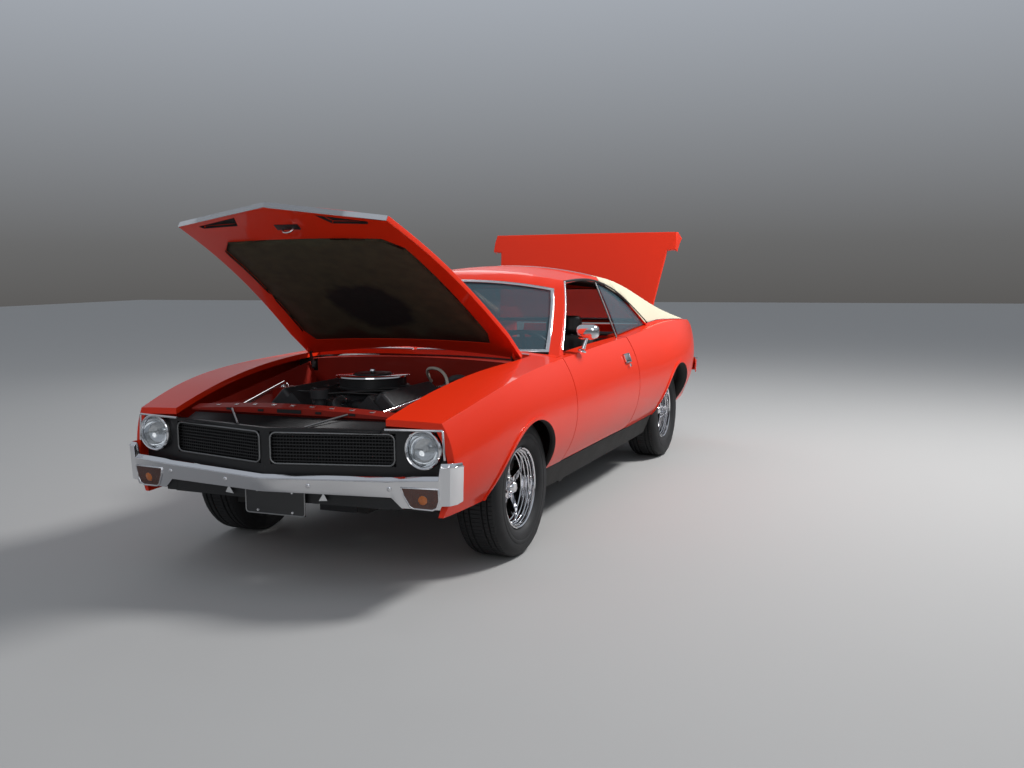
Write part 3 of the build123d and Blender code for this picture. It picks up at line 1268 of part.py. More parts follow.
def make_rear_axle():
    """Rear axle with its differential and leaf springs."""
    z = FRONT_AXLE_Z
    end_x = REAR_WHEEL_X - AXLE_TUBE_END
    tube = disc_x(-end_x, end_x, REAR_AXLE_Y, z, AXLE_TUBE_RADIUS)
    differential = Pos(0, REAR_AXLE_Y, z) * Sphere(DIFFERENTIAL_RADIUS)
    shaft = rod(SHAFT_START, (0, REAR_AXLE_Y - DIFFERENTIAL_RADIUS + 18, z), SHAFT_RADIUS)
    under = [(REAR_AXLE_Y + offset, low) for offset, low, top in SPRING_LEAF]
    over = [(REAR_AXLE_Y + offset, top) for offset, low, top in reversed(SPRING_LEAF)]
    spring = prism_x(under + over, *SPRING_X)
    return tube + differential + shaft + both_sides(spring)


def make_front_suspension():
    """Crossmember with upper and lower arms up to the knuckles."""
    half, y0, y1, low_z, top_z = CROSSMEMBER
    cross = block(-half, half, y0, y1, low_z, top_z)
    end_x = KNUCKLE_X - 24
    lower = rod(LOWER_ARM_START, (end_x, 0, FRONT_AXLE_Z - BALL_REACH), 14)
    upper = rod(UPPER_ARM_START, (end_x, 0, FRONT_AXLE_Z + BALL_REACH), 10)
    x0, x1, y0, y1, top_z = SPRING_TOWER
    tower = block(x0, x1, y0, y1, APRON_LOW_Z, top_z)
    return cross + both_sides(lower + tower + upper)


def make_knuckle():
    """Left steering knuckle: upright, ball studs, arm and spindle."""
    z = FRONT_AXLE_Z
    reach = BALL_REACH + 6
    upright = block(KNUCKLE_X - 10, KNUCKLE_X + 10, -UPRIGHT_HALF, UPRIGHT_HALF, z - reach,
                    z + reach)
    for ball_z in (z - BALL_REACH, z + BALL_REACH):
        upright = upright + block(KNUCKLE_X, KINGPIN_X, -BALL_RADIUS, BALL_RADIUS, ball_z - 6,
                                  ball_z + 6)
        upright = upright + rod((KINGPIN_X, 0, ball_z - 12), (KINGPIN_X, 0, ball_z + 12),
                                BALL_RADIUS)
    spindle = disc_x(KNUCKLE_X, FRONT_WHEEL_X - 74, 0, z, SPINDLE_RADIUS)
    arm = block(KNUCKLE_X - 10, KNUCKLE_X + 8, 0, STEERING_ARM, z - 60, z - 30)
    return upright + spindle + arm


# Interior

def make_front_seats():
    """Two bucket seats, each a cushion and a back."""
    cushion = block(SEAT_X - SEAT_HALF, SEAT_X + SEAT_HALF, SEAT_Y, SEAT_Y + SEAT_LENGTH,
                    FLOOR_Z + 24, FLOOR_Z + SEAT_TOP)
    cushion = fillet(cushion.edges().filter_by(Axis.Z), 60)
    back = fillet(Box(*SEAT_BACK).edges().filter_by(Axis.Y), 70)
    back = Pos(SEAT_X, SEAT_Y + SEAT_LENGTH + 20, FLOOR_Z + 440) * Rot(-SEAT_RAKE, 0, 0) * back
    return both_sides(cushion + back)


def make_rear_seat():
    """Rear bench: cushion over the tunnel, and back."""
    cushion = prism_x([
        (KICK_UP_Y - 40, FLOOR_Z + 130), (KICK_UP_Y - 40, REAR_SEAT_Z),
        (TRUNK_FRONT_Y - 50, REAR_SEAT_Z - 12),
        (TRUNK_FRONT_Y - 14, SEAT_PAN_Z + FLOOR_SHEET + 2),
        (KICK_UP_Y - 14, SEAT_PAN_Z + FLOOR_SHEET + 2),
    ], -REAR_SEAT_HALF, REAR_SEAT_HALF)
    cushion = cushion - tunnel_form(KICK_UP_Y - 100, TRUNK_FRONT_Y, -2)
    back = prism_x([
        (TRUNK_FRONT_Y - 46, REAR_SEAT_Z - 6), (TRUNK_FRONT_Y - 8, REAR_SEAT_Z - 22),
        (TRUNK_FRONT_Y + 60, REAR_SEAT_Z - 22), (TRUNK_FRONT_Y + 190, REAR_SEAT_TOP_Z),
        (TRUNK_FRONT_Y + 75, REAR_SEAT_TOP_Z),
    ], -REAR_SEAT_HALF, REAR_SEAT_HALF)
    return cushion + back


def make_dashboard():
    """Dashboard with the steering column."""
    shape = prism_x(DASH_PROFILE, -DASH_HALF, DASH_HALF)
    shelf_y, shelf_z = DASH_PROFILE[0]
    shelf = block(-DASH_HALF, DASH_HALF, FIREWALL_Y + 120, shelf_y + 2, shelf_z - 12, shelf_z)
    end = Vector(*WHEEL_CENTRE) - COLUMN_AXIS * COLUMN_GAP
    column = rod(tuple(end - COLUMN_AXIS * COLUMN_LENGTH), tuple(end), COLUMN_RADIUS)
    return shape + shelf + column


def make_steering_wheel():
    """Steering wheel: rim, three spokes and hub."""
    plane = Plane(origin=WHEEL_CENTRE, x_dir=(1, 0, 0), z_dir=tuple(COLUMN_AXIS))
    rim = Torus(WHEEL_RADIUS, 13)
    hub = Pos(0, 0, -12) * Cylinder(42, 36)
    wheel = rim + hub
    for angle in (0, 180, 270):
        spoke = Rot(0, 0, angle) * Pos(WHEEL_RADIUS / 2, 0, -8) * Box(WHEEL_RADIUS, 30, 7)
        wheel = wheel + spoke
    return plane * wheel


def make_mirror():
    """Chrome mirror on the left door."""
    head = block(MIRROR_X - 66, MIRROR_X + 42, 858, 880, 975, 1040)
    head = fillet(head.edges().filter_by(Axis.Y), 16)
    stem = rod((MIRROR_X - 66, 868, 912), (MIRROR_X - 20, 869, 985), 8)
    foot = rod((MIRROR_X - 70, 868, 899), (MIRROR_X - 70, 868, 916), 24)
    return head + stem + foot


def make_hood_arms():
    """The two arms that carry the hood, at its rear corners."""
    low = (ARM_PIVOT_Y, ARM_PIVOT_Z)
    high = (HOOD_PIVOT_Y, HOOD_PIVOT_Z)
    arm = prism_x([
        (low[0] - 13, low[1] - 8), (low[0] + 13, low[1] - 8),
        (high[0] + 10, high[1] - 2), (high[0] - 10, high[1] - 2),
    ], ARM_X - ARM_THICKNESS / 2, ARM_X + ARM_THICKNESS / 2)
    for y, z in (low, (high[0], high[1] - 2)):
        pin_start = (ARM_X - ARM_THICKNESS / 2 - 7, y, z)
        arm = arm + rod(pin_start, (ARM_X + ARM_THICKNESS / 2, y, z), ARM_PIN_RADIUS)
    return both_sides(arm)


os.makedirs("parts", exist_ok=True)

outer = body_form()
fender_inner = body_form(FENDER_SKIN, TOP_SKIN, 60)
wall_inner = body_form(BODY_WALL, TOP_SKIN, 60)
under_hood = body_form(FENDER_SKIN, TOP_SKIN + BAY_CLEARANCE, 60)
pocket_layer = body_form(FENDER_SKIN, TOP_SKIN - POCKET_DEPTH, 60)
skin = outer - fender_inner
wall = outer - wall_inner

cabin_outer = cabin_form()
cabin_inner = cabin_form(ROOF_WALL)
upper = make_upper(cabin_outer, cabin_inner)

fender = make_fender(skin, body_form(-ARCH_LIP_HEIGHT) - fender_inner)
save("fender_left", fender)
save("fender_right", mirrored(fender))
door = make_door(wall)
save("door_left", door)
save("door_right", mirrored(door))
quarter = make_quarter(wall, upper, body_form(-ARCH_LIP_HEIGHT) - wall_inner)
save("quarter_left", quarter)
save("quarter_right", mirrored(quarter))
save("roof", make_roof(upper) + make_backlight_frame(cabin_outer))
hood = make_hood(skin, pocket_layer)
save("hood", turned_about_x(hood, HOOD_VIRTUAL_Y, HOOD_VIRTUAL_Z, -HOOD_ANGLE))
lid = make_trunk_lid(skin, pocket_layer)
save("trunk_lid", turned_about_x(lid, LID_FRONT_Y - LID_PIVOT_INSET, LID_PIVOT_Z, LID_ANGLE))
save("windshield", make_windshield())
save("rear_window", make_rear_window())
save("quarter_glass", make_quarter_glass())
save("headlamp_housings", make_headlamps())
save("headlamp_glass", make_lamp_glass())
save("grille", make_grille(fender_inner))
bumper = bumper_half()
save("front_bumper", make_front_bumper(bumper))
save("parking_lamps", make_parking_lamps(bumper))
save("front_valance", make_front_valance())
save("cowl_panel", make_cowl(skin))
save("engine_bay", make_engine_bay(under_hood))
save("radiator_support", make_radiator_support(under_hood))
save("engine", make_engine())
save("hoses", make_hoses())
save("air_cleaner", make_air_cleaner())
save("bay_equipment", make_bay_equipment())
underbody = make_underbody(wall)
rails = make_rails(underbody)
save("underbody", underbody)
save("rails", rails)
save("sills", make_sills(wall, underbody))
save("wheelhouses", make_wheelhouses(wall_inner, underbody + rails))
save("tail_panel", make_tail_panel(wall_inner))
save("tail_lamps", make_tail_lamps(wall_inner))
save("rear_bumper", make_rear_bumper())
save("exhaust", make_exhaust())
save("fuel_tank", make_fuel_tank())
save("rear_axle", make_rear_axle())
save("front_suspension", make_front_suspension())
save("front_seats", make_front_seats())
save("rear_seat", make_rear_seat())
save("dashboard", make_dashboard())
save("steering_wheel", make_steering_wheel())
save("door_mirror", make_mirror())
save("hood_arms", make_hood_arms())
knuckle = make_knuckle()
save("knuckle_left", knuckle)
save("knuckle_right", mirrored(knuckle))
for place, wheel_x, wheel_y in (("front", FRONT_WHEEL_X, 0), ("rear", REAR_WHEEL_X, REAR_AXLE_Y)):
    tire = make_tire(wheel_x, wheel_y)
    rim = make_rim(wheel_x, wheel_y)
    save("tire_" + place + "_left", tire)
    save("tire_" + place + "_right", mirrored(tire))
    save("rim_" + place + "_left", rim)
    save("rim_" + place + "_right", mirrored(rim))
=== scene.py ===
import math

import bmesh
import bpy
from mathutils import Matrix, Vector
from mathutils.bvhtree import BVHTree


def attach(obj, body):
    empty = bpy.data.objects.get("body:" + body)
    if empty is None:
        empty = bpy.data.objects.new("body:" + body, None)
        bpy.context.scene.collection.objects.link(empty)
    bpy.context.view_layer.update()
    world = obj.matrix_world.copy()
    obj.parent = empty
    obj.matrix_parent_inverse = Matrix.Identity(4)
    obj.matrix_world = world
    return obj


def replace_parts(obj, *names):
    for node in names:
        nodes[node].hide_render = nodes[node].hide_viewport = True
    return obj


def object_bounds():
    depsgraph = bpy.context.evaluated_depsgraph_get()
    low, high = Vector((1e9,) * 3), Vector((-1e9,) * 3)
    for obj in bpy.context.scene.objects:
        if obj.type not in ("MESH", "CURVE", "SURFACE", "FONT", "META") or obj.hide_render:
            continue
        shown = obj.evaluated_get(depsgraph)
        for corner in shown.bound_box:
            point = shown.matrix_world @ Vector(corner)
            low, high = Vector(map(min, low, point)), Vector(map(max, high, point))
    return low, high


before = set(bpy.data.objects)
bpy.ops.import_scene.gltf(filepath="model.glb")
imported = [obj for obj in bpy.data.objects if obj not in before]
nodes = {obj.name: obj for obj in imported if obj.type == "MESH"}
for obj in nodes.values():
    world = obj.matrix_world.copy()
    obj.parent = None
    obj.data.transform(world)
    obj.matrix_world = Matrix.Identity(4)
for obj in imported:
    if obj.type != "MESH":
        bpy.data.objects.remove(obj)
cad_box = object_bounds()


# The camera stands where the photograph was taken, ahead of the left front
# wheel at head height. Places in this file are in millimetres from the ground
# under the front axle: x to the car's left, y to its rear, z up.
FRONT_AXLE_Y = -1484.0
CAMERA_PLACE = (2655.0, -4487.0, 1373.0)
CAMERA_YAW = 22.79
CAMERA_PITCH = 6.53
CAMERA_ROLL = -0.60
FOCAL_PIXELS = 1045.9
PHOTO_WIDTH = 1024.0
SENSOR_WIDTH = 36.0


def spot(x, y, z):
    """A place on the car, in the part's own metres."""
    return Vector((x, y + FRONT_AXLE_Y, z)) / 1000.0


camera_data = bpy.data.cameras.new("photo_camera")
camera_data.sensor_width = SENSOR_WIDTH
camera_data.lens = SENSOR_WIDTH * FOCAL_PIXELS / PHOTO_WIDTH
camera = bpy.data.objects.new("photo_camera", camera_data)
camera.location = spot(*CAMERA_PLACE)
camera.rotation_mode = "XYZ"
yaw = Matrix.Rotation(math.radians(CAMERA_YAW), 3, "Z")
tilt = Matrix.Rotation(math.radians(90.0 - CAMERA_PITCH), 3, "X")
roll = Matrix.Rotation(math.radians(CAMERA_ROLL), 3, "Z")
camera.rotation_euler = (yaw @ tilt @ roll).to_euler("XYZ")
bpy.context.scene.collection.objects.link(camera)
bpy.context.scene.camera = camera
bpy.context.scene.view_settings.view_transform = "Standard"


# Studio: a plain pale floor, a pale sky and a darker ground seen in chrome
# and glass, and soft lamps, the strongest high on the car's left rear.
FLOOR_SIZE = 60.0
FLOOR_COLOUR = (0.42, 0.415, 0.405)
GROUND = (0.20, 0.19, 0.18, 1.0)
HORIZON = (0.30, 0.30, 0.30, 1.0)
SKY = (0.80, 0.86, 0.95, 1.0)
GROUND_TOP, HORIZON_MIDDLE, SKY_START = 0.47, 0.51, 0.62
WORLD_LIGHT = 0.46
LAMPS = [
    # name, place, aim, size in metres, watts
    ("key", (4300, 3400, 6200), (0, 900, 500), 1.8, 540.0),
    ("fill", (2600, -7000, 3600), (0, 200, 600), 4.5, 60.0),
    ("back", (-3800, 7000, 4200), (0, 2400, 600), 4.0, 60.0),
]
COAT_ROUGHNESS = 0.03


def clouds(made, scale, detail):
    """A pattern of soft clouds that stays fixed to the piece."""
    parts = made.node_tree.nodes
    place = parts.get("Texture Coordinate") or parts.new("ShaderNodeTexCoord")
    pattern = parts.new("ShaderNodeTexNoise")
    pattern.inputs["Scale"].default_value = scale
    pattern.inputs["Detail"].default_value = detail
    made.node_tree.links.new(place.outputs["Object"], pattern.inputs["Vector"])
    return pattern.outputs["Fac"]


def roughen(made, grain, bump):
    """A fine grain in the surface of a finish."""
    parts = made.node_tree.nodes
    raised = parts.new("ShaderNodeBump")
    raised.inputs["Strength"].default_value = bump
    raised.inputs["Distance"].default_value = 0.001
    made.node_tree.links.new(clouds(made, grain, 3.0), raised.inputs["Height"])
    made.node_tree.links.new(raised.outputs["Normal"], parts["Principled BSDF"].inputs["Normal"])


def finish(name, colour, roughness, metal=0.0, coat=0.0, drift=0.08, patch=3.0, grain=0.0,
           bump=0.0, shine=0.5):
    """A finish with slight clouds in its colour and gloss, and a grain in its surface."""
    made = bpy.data.materials.new(name)
    made.use_nodes = True
    parts = made.node_tree.nodes
    join = made.node_tree.links.new
    shader = parts["Principled BSDF"]
    for socket, value in (("Metallic", metal), ("Specular IOR Level", shine),
                          ("Coat Weight", coat), ("Coat Roughness", COAT_ROUGHNESS)):
        shader.inputs[socket].default_value = value
    pattern = clouds(made, patch, 5.0)
    tint = parts.new("ShaderNodeMix")
    tint.data_type = "RGBA"
    tint.inputs[6].default_value = (*[part * (1 - drift) for part in colour], 1.0)
    tint.inputs[7].default_value = (*[min(part * (1 + drift), 1.0) for part in colour], 1.0)
    join(pattern, tint.inputs[0])
    join(tint.outputs[2], shader.inputs["Base Color"])
    gloss = parts.new("ShaderNodeMapRange")
    gloss.inputs["To Min"].default_value = roughness * 0.8
    gloss.inputs["To Max"].default_value = min(roughness * 1.2, 1.0)
    join(pattern, gloss.inputs["Value"])
    join(gloss.outputs["Result"], shader.inputs["Roughness"])
    if bump:
        roughen(made, grain, bump)
    return made


floor_form = bmesh.new()
bmesh.ops.create_grid(floor_form, x_segments=1, y_segments=1, size=FLOOR_SIZE / 2)
floor_mesh = bpy.data.meshes.new("floor")
floor_form.to_mesh(floor_mesh)
floor_form.free()
floor = bpy.data.objects.new("floor", floor_mesh)
bpy.context.scene.collection.objects.link(floor)
floor_mesh.materials.append(finish("floor_pale", FLOOR_COLOUR, 0.9, drift=0.02))

world = bpy.data.worlds.new("studio")
bpy.context.scene.world = world
world.use_nodes = True
world_parts = world.node_tree.nodes
world_join = world.node_tree.links.new
heights = world_parts.new("ShaderNodeTexCoord")
split = world_parts.new("ShaderNodeSeparateXYZ")
level = world_parts.new("ShaderNodeMapRange")
level.inputs["From Min"].default_value = -1.0
ramp = world_parts.new("ShaderNodeValToRGB")
stops = ramp.color_ramp.elements
stops[0].position, stops[0].color = GROUND_TOP, GROUND
stops[1].position, stops[1].color = SKY_START, SKY
stops.new(HORIZON_MIDDLE).color = HORIZON
world_join(heights.outputs["Generated"], split.inputs[0])
world_join(split.outputs["Z"], level.inputs["Value"])
world_join(level.outputs["Result"], ramp.inputs["Fac"])
world_join(ramp.outputs["Color"], world_parts["Background"].inputs["Color"])
world_parts["Background"].inputs["Strength"].default_value = WORLD_LIGHT

for name, place, aim, size, power in LAMPS:
    lamp_data = bpy.data.lights.new(name, "AREA")
    lamp_data.shape = "DISK"
    lamp_data.size = size
    lamp_data.energy = power
    lamp = bpy.data.objects.new(name, lamp_data)
    lamp.location = spot(*place)
    direction = spot(*aim) - spot(*place)
    lamp.rotation_euler = direction.to_track_quat("-Z", "Y").to_euler()
    bpy.context.scene.collection.objects.link(lamp)


# Body panels: pressed steel in orange-red gloss paint under a clear coat, the
# edges folded over. Each panel is its CAD solid with its edges rounded.
PAINT_RED = (0.80, 0.030, 0.005)
# Much darker red for the engine bay's inner panels: painted shade of the open hood, on the same
# paint as the body.
SHADED_INNER_RED = (0.26, 0.013, 0.006)
PANEL_EDGE = 0.004
EDGE_ANGLE = math.radians(38.0)
WELD_REACH = 0.00002
PAINTED = (
    "fender_left", "fender_right", "door_left", "door_right", "quarter_left", "quarter_right",
    "roof", "hood", "trunk_lid", "cowl_panel", "tail_panel",
)


def dress(node, material, edge=0.0):
    """Gives a solid its finish, with its edges rounded by a small radius."""
    solid = nodes[node]
    solid.data.materials.clear()
    solid.data.materials.append(material)
    weld = solid.modifiers.new("weld", "WELD")
    weld.merge_threshold = WELD_REACH
    if edge:
        bevel = solid.modifiers.new("edge", "BEVEL")
        bevel.width = edge
        bevel.segments = 2
        bevel.limit_method = "ANGLE"
        bevel.angle_limit = EDGE_ANGLE
    for face in solid.data.polygons:
        face.use_smooth = True
    even = solid.modifiers.new("normals", "WEIGHTED_NORMAL")
    even.keep_sharp = True


paint = finish("paint_orange_red", PAINT_RED, 0.45, coat=0.45, drift=0.05, patch=1.2,
               grain=900.0, bump=0.02, shine=0.1)
for node in PAINTED:
    dress(node, paint, PANEL_EDGE)
# The bay walls and radiator support: the body's red painted much darker as the shade under the open
# hood, on a duller, less glossy finish.
dull_paint_with_painted_shade = finish("paint_inner_panels_with_painted_shade", SHADED_INNER_RED, 0.6, coat=0.1, drift=0.25, patch=6.0,
                    grain=700.0, bump=0.08, shine=0.2)
for node in ("radiator_support", "engine_bay"):
    dress(node, dull_paint_with_painted_shade, PANEL_EDGE)


# Vinyl top: cream grained cloth glued over the rear of the roof and both sail
# panels, ending at a straight cut across the roof and at a thin edge strip,
# and rounded down to the rear window over a padded edge.
CREAM = (0.72, 0.66, 0.49)
VINYL_FRONT_Y = 1805.0
VINYL_REAR_Y = 3490.0
VINYL_EDGE = [(2060.0, 958.0), (2742.0, 973.0), (3300.0, 951.0), (3600.0, 930.0)]
VINYL_THICK = 0.0025
CABIN_MIDDLE_Z = 880.0
HEADER_SPAN_Y = (2080.0, 2300.0)
REAR_WINDOW_TOP = (2240.0, 1230.0)
REAR_WINDOW_FALL = 270.0 / 735.0
SAIL_INNER_X = 500.0
HEADER_START_Y = 2205.0
HEADER_END_Y, HEADER_END_Z = 2256.0, 1234.0
HEADER_HALF = 450.0
HEADER_COLUMNS, HEADER_ROWS = 30, 8
HEADER_ROUNDING = 3.2
SMOOTH_ANGLE = math.radians(35.0)
ABOVE_ALL = 2400.0


def copy_of(node):
    """A worked copy of a solid's surface, its corners joined."""
    form = bmesh.new()
    form.from_mesh(nodes[node].data)
    bmesh.ops.remove_doubles(form, verts=form.verts, dist=WELD_REACH)
    return form


def keep_faces(form, wanted):
    """Drops every face that isn't wanted."""
    dropped = [face for face in form.faces if not wanted(face)]
    bmesh.ops.delete(form, geom=dropped, context="FACES")


def cut(form, place, normal, drop=True):
    """Cuts a surface along a plane and drops what lies on the normal's side."""
    everything = form.verts[:] + form.edges[:] + form.faces[:]
    bmesh.ops.bisect_plane(form, geom=everything, dist=0.00001, plane_co=place, plane_no=normal,
                           clear_outer=drop)


def shape_out(name, form, material, body="chassis", recalculate=True, thick=0.0):
    """Turns a worked form into a finished piece that rides on a body."""
    if recalculate:
        bmesh.ops.remove_doubles(form, verts=form.verts, dist=0.00001)
        bmesh.ops.recalc_face_normals(form, faces=form.faces)
    mesh = bpy.data.meshes.new(name)
    form.to_mesh(mesh)
    form.free()
    for face in mesh.polygons:
        face.use_smooth = True
    mesh.set_sharp_from_angle(angle=SMOOTH_ANGLE)
    mesh.materials.append(material)
    piece = bpy.data.objects.new(name, mesh)
    bpy.context.scene.collection.objects.link(piece)
    if thick:
        wall = piece.modifiers.new("thickness", "SOLIDIFY")
        wall.thickness = thick
        wall.offset = 1.0
    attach(piece, body)
    return piece


def surface_of(*names):
    """The surface of some solids, to find places on."""
    joined = bmesh.new()
    for node in names:
        joined.from_mesh(nodes[node].data)
    tree = BVHTree.FromBMesh(joined)
    joined.free()
    return tree


def top_places(tree, places, proud=1.5):
    """The places on top of a panel at some widths and lengths."""
    down = Vector((0, 0, -1))
    hits = [(tree.ray_cast(spot(x, y, ABOVE_ALL), down)[0], x, y) for x, y in places]
    return [(x, y, hit.z * 1000.0 + proud) for hit, x, y in hits if hit]


def vinyl_edge_z(y):
    """The height of the vinyl's lower edge at one place along the car."""
    for (y0, z0), (y1, z1) in zip(VINYL_EDGE, VINYL_EDGE[1:]):
        if y <= y1:
            return z0 + (z1 - z0) * (y - y0) / (y1 - y0)
    return VINYL_EDGE[-1][1]


def under_vinyl(face):
    """Whether a face of the roof or a sail panel is one the vinyl covers."""
    middle = face.calc_center_median() * 1000.0
    x, y, z = middle.x, middle.y - FRONT_AXLE_Y, middle.z
    window_y, window_z = REAR_WINDOW_TOP
    if z < vinyl_edge_z(y):
        return False
    outward = Vector((x, 0.0, z - CABIN_MIDDLE_Z)).normalized()
    if face.normal.dot(outward) > 0.35:
        return True
    if face.normal.y > 0.3 and face.normal.z > -0.1 and HEADER_SPAN_Y[0] < y < HEADER_SPAN_Y[1]:
        return True
    if y < window_y or abs(x) < SAIL_INNER_X or z < window_z - REAR_WINDOW_FALL * (y - window_y):
        return False
    return face.normal.z > 0.2 or face.normal.x * x < -0.4 * abs(x)


vinyl = finish("vinyl_cream", CREAM, 0.55, drift=0.07, patch=2.5, grain=420.0, bump=0.35)
for node in ("roof", "quarter_left", "quarter_right"):
    skin = copy_of(node)
    cut(skin, spot(0, VINYL_FRONT_Y, 0), (0, -1, 0))
    cut(skin, spot(0, VINYL_REAR_Y, 0), (0, 1, 0))
    for (y0, z0), (y1, z1) in zip(VINYL_EDGE, VINYL_EDGE[1:]):
        cut(skin, spot(0, y0, z0), (0, z0 - z1, y1 - y0), drop=False)
    keep_faces(skin, under_vinyl)
    shape_out("vinyl_" + node, skin, vinyl, recalculate=False, thick=VINYL_THICK)

header = bmesh.new()
bmesh.ops.create_grid(header, x_segments=HEADER_COLUMNS, y_segments=HEADER_ROWS, size=1.0)
roof_top = surface_of("roof")
for vertex in header.verts:
    x, y, top_z = top_places(roof_top, [(vertex.co.x * HEADER_HALF, HEADER_START_Y)], 0.5)[0]
    share = (1.0 + vertex.co.y) / 2.0
    vertex.co = spot(x, y + (HEADER_END_Y - y) * share,
                     top_z + (HEADER_END_Z - top_z) * share ** HEADER_ROUNDING)
shape_out("vinyl_header", header, vinyl, recalculate=False, thick=VINYL_THICK)


# Bright trim: rolled stainless strips and plated rims, pressed or clipped on
# over seams. Where a strip lies on a panel its line is found on the panel.
WINDOW_TRIM = [(724, 915), (744, 938), (1146, 1270), (1480, 1284), (1830, 1258), (2180, 1162),
               (2486, 966)]
VINYL_STRIP = [(2500, 966), (2742, 973), (3300, 951), (3470, 941)]
ROOF_STRIP = [(x, VINYL_FRONT_Y) for x in range(-560, 561, 40)]
DIVISION_BAR = [(757, 1700, 918), (693, 1716, 1070), (604, 1738, 1262)]
BESIDE_ALL = 1500.0
chrome = finish("chrome", (0.80, 0.80, 0.82), 0.05, metal=1.0, drift=0.03, patch=4.0)
bright_steel = finish("bright_steel", (0.82, 0.82, 0.83), 0.24, metal=1.0, drift=0.04, patch=9.0)
dull_silver = finish("dull_silver", (0.26, 0.26, 0.26), 0.38, metal=0.9, drift=0.1, patch=14.0)
seal_black = finish("seal_black", (0.010, 0.010, 0.011), 0.5, drift=0.2, patch=20.0, grain=500.0,
                    bump=0.2)


def bead(name, routes, radius, material, body="chassis", closed=False, mirror=True,
         bent=False, turn=None):
    """Round strips, pipes or wires along lists of places, on both sides of the car."""
    line = bpy.data.curves.new(name, "CURVE")
    line.dimensions = "3D"
    line.bevel_depth = radius / 1000.0
    line.bevel_resolution = 2
    line.use_fill_caps = True
    flips = (1, -1) if mirror else (1,)
    for route in routes:
        for flip in flips:
            strand = line.splines.new("NURBS" if bent else "POLY")
            strand.points.add(len(route) - 1)
            for point, (x, y, z) in zip(strand.points, route):
                place = spot(x * flip, y, z)
                if turn:
                    place = turn @ place
                point.co = (*place, 1.0)
            strand.use_cyclic_u = closed
            if bent:
                strand.use_endpoint_u = True
                strand.order_u = 3
    line.materials.append(material)
    piece = bpy.data.objects.new(name, line)
    bpy.context.scene.collection.objects.link(piece)
    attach(piece, body)
    return piece


def side_places(tree, places, proud=2.0):
    """The places on the car's left side at some lengths and heights."""
    inward = Vector((-1, 0, 0))
    hits = [(tree.ray_cast(spot(BESIDE_ALL, y, z), inward)[0], y, z) for y, z in places]
    return [(hit.x * 1000.0 + proud, y, z) for hit, y, z in hits if hit]


def along(points, step=40.0):
    """Places a short step apart on the runs between some points."""
    places = []
    for start, end in zip(points, points[1:]):
        run = Vector(end) - Vector(start)
        count = max(1, round(run.length / step))
        places += [tuple(Vector(start) + run * number / count) for number in range(count)]
    return places + [tuple(points[-1])]


upper_body = surface_of("roof", "quarter_left")
bead("window_trim", [side_places(upper_body, along(WINDOW_TRIM[:3]))], 6.0, bright_steel)
bead("window_seal", [side_places(upper_body, WINDOW_TRIM[2:], 0.0)], 8.0, seal_black,
     bent=True)
bead("vinyl_edge", [side_places(upper_body, along(VINYL_STRIP))], 3.0, bright_steel)
bead("vinyl_front_strip", [top_places(upper_body, ROOF_STRIP)], 3.5, bright_steel,
     mirror=False)
bead("division_bars", [DIVISION_BAR], 5.5, dull_silver, bent=True)


# Windows: tinted laminated and tempered glass, each held by a bright reveal
# moulding that laps over the glass edge.
MOULDING_THICK = 0.003


def clear(name, colour, see_through):
    """A glass that lets part of the light through."""
    made = finish(name, colour, 0.03, drift=0.1, patch=2.0)
    made.node_tree.nodes["Principled BSDF"].inputs["Alpha"].default_value = 1.0 - see_through
    return made


def moulding(name, node, wanted, width, lift):
    """A flat bright frame that laps over the edge of a glass, made from the glass."""
    form = copy_of(node)
    keep_faces(form, wanted)
    bmesh.ops.dissolve_limit(form, angle_limit=0.02, verts=form.verts, edges=form.edges)
    rim = bmesh.ops.inset_region(form, faces=form.faces[:], thickness=width, use_boundary=True,
                                 use_even_offset=True)
    inner = set(form.faces) - set(rim["faces"])
    bmesh.ops.delete(form, geom=list(inner), context="FACES")
    for vertex in form.verts:
        vertex.co += vertex.normal * lift
    shape_out(name, form, bright_steel, recalculate=False, thick=MOULDING_THICK)


window_glass = clear("window_glass", (0.07, 0.13, 0.16), 0.52)
for node in ("windshield", "rear_window", "quarter_glass"):
    dress(node, window_glass)
moulding("windshield_moulding", "windshield", lambda face: face.normal.y < -0.3, 0.020, 0.004)
moulding("rear_window_moulding", "rear_window", lambda face: face.normal.z > 0.5, 0.018, 0.003)


# Nose: matt black grille panel with fine mesh behind two rounded openings,
# each edged by a dull silver bead, and a plated strip along the top.
NOSE_POINT_Y = -905.0
NOSE_BEND = (530.0, -785.0)
NOSE_END = (773.0, -742.0)
GRILLE_SPAN = (27.0, 558.0)
GRILLE_RISE = (549.0, 681.0)
GRILLE_CORNER = 26.0
GRILLE_BEAD_BACK = 27.0
MESH_BACK = 58.0
MESH_SPANS = ((0, 530), (530, 600))
MESH_LOW, MESH_TOP = 522, 698
FIN_COUNT = 38
FIN_START, FIN_STEP = 36, 13.6
FIN_HALF = 1.2
FIN_FRONT, FIN_BACK = 42, 50
FIN_LOW, FIN_TOP = 548, 682
TOP_STRIP = [(532, 705), (773, 706)]
STRIP_CORNER = [(777, -744, 700), (783, -744, 585)]
black = finish("black_satin", (0.012, 0.012, 0.013), 0.42, drift=0.2, patch=8.0, grain=700.0,
               bump=0.08)
# Black for the grille's fine mesh, also used for painted shade: the sheet in the recess behind the
# grille top and the support's slots.
mesh_black_and_painted_shade = finish("grille_mesh_black", (0.006, 0.006, 0.007), 0.6, drift=0.3, patch=30.0,
                    grain=300.0, bump=0.5)


def nose_y(x):
    """The front of the nose at one width."""
    bend_x, bend_y = NOSE_BEND
    end_x, end_y = NOSE_END
    if abs(x) < bend_x:
        return NOSE_POINT_Y + (bend_y - NOSE_POINT_Y) * abs(x) / bend_x
    return bend_y + (end_y - bend_y) * (abs(x) - bend_x) / (end_x - bend_x)


